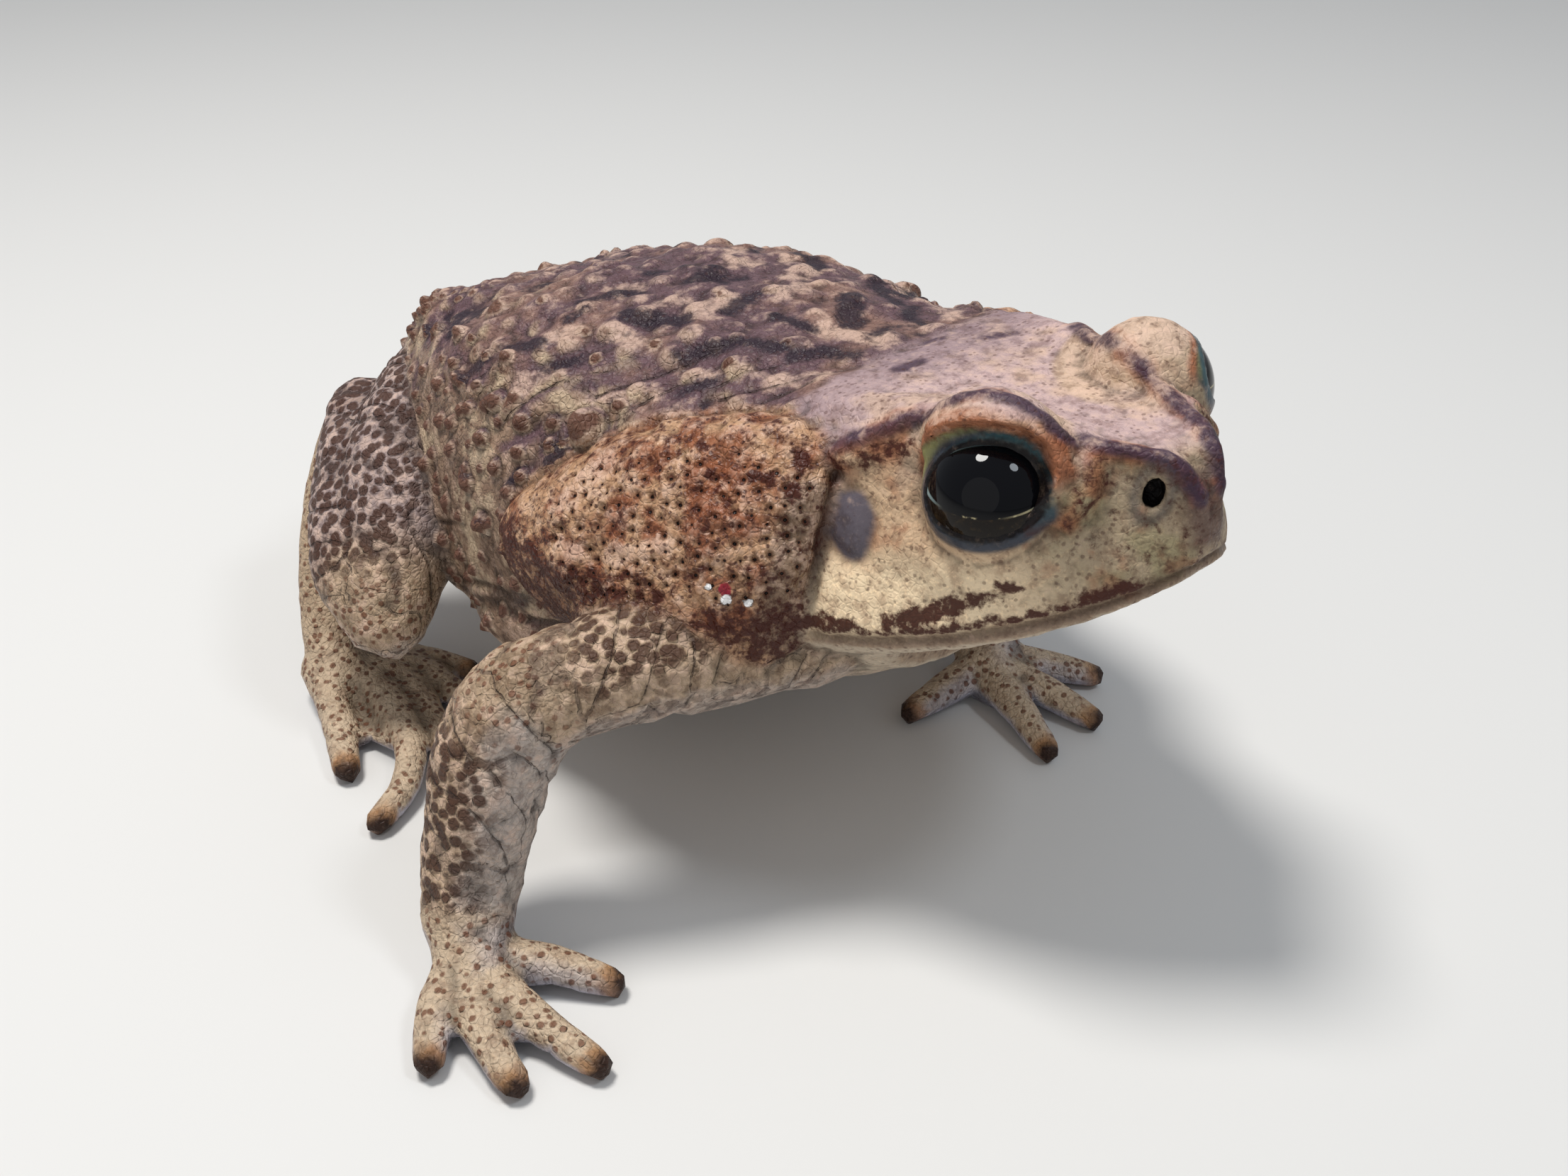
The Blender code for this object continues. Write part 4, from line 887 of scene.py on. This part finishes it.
    # Painted shade: the colour is darkened in the hollows of the skin
    shade = 1 - 0.5 * ramp(0.01, 0.09, hollow) * plain
    colour = colour * shade[:, None]
    coarse_spots = limbs * (1 - known["fine_skin"]) * ramp(-0.85, -0.4, top) * ramp(1.0, 0.6, ahead)
    dots = np.maximum(known["fine_skin"], feet * ramp(-0.4, 0.2, top) * ramp(2.8, 3.6, tips))
    marks = {"Blotch": blotch,
             "Light": pale_and_highlight * plain,
             "Murk": np.clip(murk, 0, 1) * plain,
             "Spots": np.clip(coarse_spots, 0, 1),
             "Dots": np.clip(dots, 0, 1),
             "Wart": np.maximum(known["tip"], 0.9 * known["tip_small"]) * trunk * ramp(0.97, 0.75, top),
             "Pore": known["pore"] * glands,
             "Crease": known["crease"], "Cross": known["cross"], "Loose": known["loose"],
             "Specks": np.clip(0.6 * skull + 0.4 * trunk + glands, 0, 1) * plain,
             "Rough": np.clip(1 - known["drum"] - lid, 0.03, 1) * (1 - 0.5 * skull),
             "Shine": np.clip(0.6 * glands + 0.3 * trunk + lid + known["drum"], 0, 1)}
    mesh = skin.data
    attribute = mesh.color_attributes.new("Paint", "FLOAT_COLOR", "POINT")
    attribute.data.foreach_set("color", np.c_[colour, np.ones(hide.size)].astype(np.float32).ravel())
    for name, values in marks.items():
        layer = mesh.attributes.new(name, "FLOAT", "POINT")
        layer.data.foreach_set("value", values.astype(np.float32))


# Materials

def operator(operation, swapped=False):
    def act(wire, other=0.0):
        return wire.finish.sum(operation, *((other, wire) if swapped else (wire, other)))

    return act


class Wire:
    """A shader socket that takes part in sums and products."""

    __add__ = __radd__ = operator("ADD")
    __sub__, __rsub__ = operator("SUBTRACT"), operator("SUBTRACT", True)
    __mul__, __pow__, __abs__ = (operator(name) for name in ("MULTIPLY", "POWER", "ABSOLUTE"))

    def __init__(self, finish, socket):
        self.finish = finish
        self.socket = socket


class Finish:
    """One procedural material."""

    def __init__(self, name):
        self.material = bpy.data.materials.new(name)
        self.material.use_nodes = True
        self.tree = self.material.node_tree
        self.shader = self.tree.nodes["Principled BSDF"]
        self.place = self.node("ShaderNodeTexCoord", output="Object")

    def plug(self, socket, value):
        if isinstance(value, Wire):
            self.tree.links.new(value.socket, socket)
        elif hasattr(value, "__len__") and socket.type == "RGBA":
            socket.default_value = (*value, 1.0)
        else:
            socket.default_value = value

    def node(self, kind, inputs=None, output=0, **settings):
        """A node of this kind with its settings, then its inputs; gives one of its outputs."""
        made = self.tree.nodes.new(kind)
        for key, value in settings.items():
            setattr(made, key, value)
        for key, value in (inputs or {}).items():
            self.plug(made.inputs[key], value)
        return Wire(self, made.outputs[output])

    def sum(self, operation, one, other):
        return self.node("ShaderNodeMath", {0: one, 1: other}, operation=operation)

    def step(self, value, low, high):
        """0 below low, 1 above high and smooth between; low may be the larger."""
        start, end = (0.0, 1.0) if low < high else (1.0, 0.0)
        inputs = {"Value": value, "From Min": min(low, high), "From Max": max(low, high),
                  "To Min": start, "To Max": end}
        return self.node("ShaderNodeMapRange", inputs, interpolation_type="SMOOTHSTEP")

    def mask(self, name):
        return self.node("ShaderNodeAttribute", output="Fac", attribute_name=name)

    def vector(self, operation, one, other, output=0):
        return self.node("ShaderNodeVectorMath", {0: one, 1: other}, output=output, operation=operation)

    def pattern(self, kind, size, at, inputs, output, **settings):
        inputs = {"Vector": at or self.place, "Scale": 1 / (size * MM), **inputs}
        return self.node(kind, inputs, output, **settings)

    def noise(self, size, detail=2.0, roughness=0.5, at=None, output=0):
        inputs = {"Detail": detail, "Roughness": roughness}
        return self.pattern("ShaderNodeTexNoise", size, at, inputs, output)

    def cells(self, size, feature="F1", output="Distance", at=None, **inputs):
        return self.pattern("ShaderNodeTexVoronoi", size, at, inputs, output, feature=feature)

    def mix(self, factor, one, other, blend="MIX"):
        return self.node("ShaderNodeMix", {0: factor, 6: one, 7: other}, output=2, data_type="RGBA",
                         blend_type=blend)

    def spot(self, middle, radius, wobble):
        """1 within a radius, in mm, of a place on the toad; the wobble makes its edge ragged."""
        away = self.vector("DISTANCE", self.place, tuple(to_model(middle)), "Value") + wobble
        return self.step(away, radius * 1.15 * MM, radius * 0.85 * MM)

    def bump(self, height, distance, strength, under=None):
        inputs = {"Height": height, "Distance": distance * MM, "Strength": strength}
        if under is not None:
            inputs["Normal"] = under
        return self.node("ShaderNodeBump", inputs)

    def set(self, **sockets):
        """Plugs these into the shader's sockets and gives the material."""
        for key, value in sockets.items():
            self.plug(self.shader.inputs[key.replace("_", " ")], value)
        return self.material


def skin_finish():
    skin = Finish("toad_skin")
    step, cells, spot = skin.step, skin.cells, skin.spot
    paint = skin.node("ShaderNodeAttribute", output="Color", attribute_name="Paint")
    names = "Blotch Light Murk Wart Pore Spots Dots Specks Rough Loose Shine".split()
    blotch, pale_and_highlight, murk, wart, pore, spots, dots, specks, rough, loose, shine = map(skin.mask, names)
    fine, cloudy = skin.noise(0.45, 3.0), skin.noise(1.9, 4.0, 0.6)
    patchy = skin.noise(1.25, 5.0, 0.65, skin.vector("ADD", skin.place, (0.31, 0.17, 0.05)))
    wander = skin.noise(1.5, output=1)
    shift = skin.node("ShaderNodeVectorMath", {0: wander, "Scale": 0.5 * MM}, operation="SCALE")
    warped = skin.vector("ADD", skin.place, shift)
    ragged = (cloudy - 0.5) * 0.9 + (fine - 0.5) * 0.5
    colour = paint

    def lay(tone, mask):
        nonlocal colour
        colour = skin.mix(mask, colour, tone)

    lay(skin.mix(1.0, paint, DARKER, "MULTIPLY"), step(cloudy, 0.46, 0.68) * 0.6)
    lay(skin.mix(1.0, paint, LIGHTER, "MULTIPLY"), step(fine, 0.52, 0.75) * 0.45)

    # Pale patches, partly the skin's own and partly a painted highlight on raised skin, and dark patches,
    # that cover more of the skin the higher their field is
    lay(LIGHT, step(1 - cloudy + pale_and_highlight * 0.55, 0.60, 0.96) * 0.62)
    # Warts: pale sides and rusty brown tops
    lay(WART_SIDE, step(wart + ragged * 0.15, 0.0, 0.15) * 0.5)
    lay(WART_TOP, step(wart + ragged * 0.3, 0.04, 0.32) * 0.92)
    # Blotches of the back, with soft ragged edges, and murk
    lay(BACK_DARK, step(blotch + ragged * 2.6, -0.5, 0.9) * 0.92)
    lay(MURK, step(patchy + murk * 0.5, 0.62, 0.86) * 0.97)
    # Spots of the limbs in a paler net, smaller at the joints, hands and feet
    far = cells(1.6, at=warped, Randomness=0.8)
    lay(LIGHT, step(far, 0.52, 0.80) * spots * 0.35)
    spotted = step(far + ragged * 0.18, 0.64, 0.42) * spots
    lay(DOT, spotted * 0.92)
    dotted = step(cells(1.3, at=warped, Randomness=0.85) + ragged * 0.12, 0.42, 0.24) * dots
    lay(SMALL_DOT, dotted * 0.82)
    chosen = skin.node("ShaderNodeSeparateColor", {0: cells(0.8, output="Color", at=warped)})
    speck = step(cells(0.8, at=warped), 0.40, 0.20) * step(chosen, 0.45, 0.6) * specks
    lay(SPECK, speck * 0.82)
    # Pores with painted shade in their openings, painted shade along the creases, and what has oozed from
    # the gland
    lay(PORE_RIM, step(pore + ragged * 0.5, 0.25, 0.65) * 0.6)
    # Painted shade: the opening of each pore, near black
    pore_shade = step(pore + ragged * 0.12, 0.64, 0.80)
    lay(PORE_SHADE, pore_shade * 0.97)
    # Painted shade: dark lines along the creases of loose skin
    line = step(abs(skin.mask("Crease")) - ragged * 0.02, 0.09, 0.02)
    line = line + step(abs(skin.mask("Cross")), 0.06, 0.015) * 0.4
    crease_shade = line * loose * step(cloudy, 0.30, 0.55)
    lay(CREASE_SHADE, crease_shade * 0.6)
    wobble = ragged * 0.9 * MM
    lay(SPOT_RED, spot(*RED_SPOT, wobble) * 0.9)
    drops = sum(spot(*drop, wobble) for drop in MILKY_DROPS)
    lay(MILK, drops)

    beads = cells(0.55, "SMOOTH_F1", Smoothness=0.4)
    net = step(cells(1.0, "DISTANCE_TO_EDGE", at=warped), 0.0, 0.16)
    relief = (1 - beads) * 0.5 + net * 0.30 + fine * 0.35 + cloudy * 0.6
    grain = skin.bump(relief * rough, 0.34, 1.0)
    marks = spotted * 0.7 + dotted * 0.4 - crease_shade * 0.9 - pore_shade * 1.6 + drops * 1.2
    normal = skin.bump(marks, 0.25, 1.0, grain)
    gloss = 0.56 - step(fine, 0.4, 0.7) * 0.12 - shine * 0.30
    return skin.set(Base_Color=colour, Roughness=gloss, Normal=normal, Specular_IOR_Level=0.2)


def eye_finish(name, side):
    """Black with a thin pale rim round the pupil, and very dark brown outside it."""
    eye = Finish(name)
    turn = HEAD.to_3x3()
    away = eye.vector("SUBTRACT", eye.place, tuple(to_model(eye_centre(side))))
    parts = []
    for axis, middle, half in zip((PUPIL_RIGHT, PUPIL_UP), PUPIL_AT, PUPIL_HALF):
        aim = tuple((turn @ mirrored(axis, side)) / (half * MM))
        parts.append(eye.vector("DOT_PRODUCT", away, aim, "Value") - middle / half)
    right, up = parts
    oval = (right * right + up * up) ** 0.5
    broken = eye.noise(1.1, 3.0)
    rim = eye.step(abs(oval - 1.0), 0.035, 0.01)
    strength = eye.step(right, 0.1, 0.95) * 0.9 + eye.step(up, -0.8, 0.2) * 0.12
    strength = strength + eye.step(right, -0.7, -1.0) * 0.45
    strength = strength + eye.step(up, -0.85, -0.98) * eye.step(broken, 0.48, 0.6) * 0.9
    iris = eye.mix(eye.step(eye.noise(0.8, 4.0), 0.5, 0.75) * 0.6, IRIS_DARK, IRIS_BROWN)
    colour = eye.mix(eye.step(oval, 1.0, 1.03), PUPIL, iris)
    pale = eye.mix(eye.step(up, -0.5, -0.8), PUPIL_RIM, PUPIL_RIM_LOW)
    colour = eye.mix(rim * strength, colour, pale)
    return eye.set(Base_Color=colour, Roughness=0.03, IOR=1.38, Specular_IOR_Level=0.3)


def eyeball(side):
    """The dark glossy ball."""
    name = "eyeball_left" if side > 0 else "eyeball_right"
    deselect()
    bpy.ops.mesh.primitive_uv_sphere_add(segments=64, ring_count=40, radius=EYE_RADIUS * MM,
                                         location=to_model(eye_centre(side)))
    ball = bpy.context.active_object
    ball.name = name
    look = (HEAD.to_3x3() @ mirrored(EYE_LOOK, side)).normalized()
    ball.rotation_mode = "QUATERNION"
    ball.rotation_quaternion = look.to_track_quat("Z", "Y")
    pick(ball)
    bpy.ops.object.transform_apply(location=True, rotation=True, scale=True)
    bpy.ops.object.shade_smooth()
    ball.data.materials.append(eye_finish(name, side))
    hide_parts("eye_left" if side > 0 else "eye_right")
    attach(ball, "root")


def stage():
    deselect()
    bpy.ops.mesh.primitive_plane_add(size=FLOOR_WIDTH, location=(0, 0, 0))
    floor = bpy.context.active_object
    floor.name = "floor"
    floor.data.materials.append(Finish("pale_floor").set(Base_Color=FLOOR, Roughness=0.7))
    world = bpy.data.worlds.new("studio")
    bpy.context.scene.world = world
    world.use_nodes = True
    sky = world.node_tree.nodes["Background"]
    sky.inputs["Color"].default_value = SKY
    sky.inputs["Strength"].default_value = SKY_STRENGTH
    for lamp in LAMPS:
        soft_light(*lamp)


def soft_light(name, place, target, size, power, colour):
    deselect()
    bpy.ops.object.light_add(type="AREA", location=place)
    lamp = bpy.context.active_object
    lamp.name = name
    lamp.data.shape = "DISK"
    lamp.data.size = size
    lamp.data.energy = power
    lamp.data.color = colour
    lamp.rotation_euler = (Vector(target) - Vector(place)).to_track_quat("-Z", "Y").to_euler()


def camera():
    data = bpy.data.cameras.new("camera")
    eye = bpy.data.objects.new("camera", data)
    bpy.context.scene.collection.objects.link(eye)
    data.sensor_width = SENSOR
    data.lens = LENS
    data.clip_start = 0.005
    data.clip_end = 20
    eye.location = to_model(CAMERA_AT)
    eye.rotation_euler = (math.pi / 2 - CAMERA_DROP, 0, CAMERA_AZIMUTH)
    bpy.context.scene.camera = eye
    bpy.context.scene.view_settings.view_transform = "Standard"


camera()
stage()
skin = fused_skin()
hide, known = shape_skin(skin)
hide, known = thin_skin(skin, hide, known)
paint_skin(skin, hide, known)
skin.data.materials.clear()
skin.data.materials.append(skin_finish())
pick(skin)
bpy.ops.object.shade_smooth()
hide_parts(*flesh_nodes())
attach(skin, "root")
for side in (1, -1):
    eyeball(side)
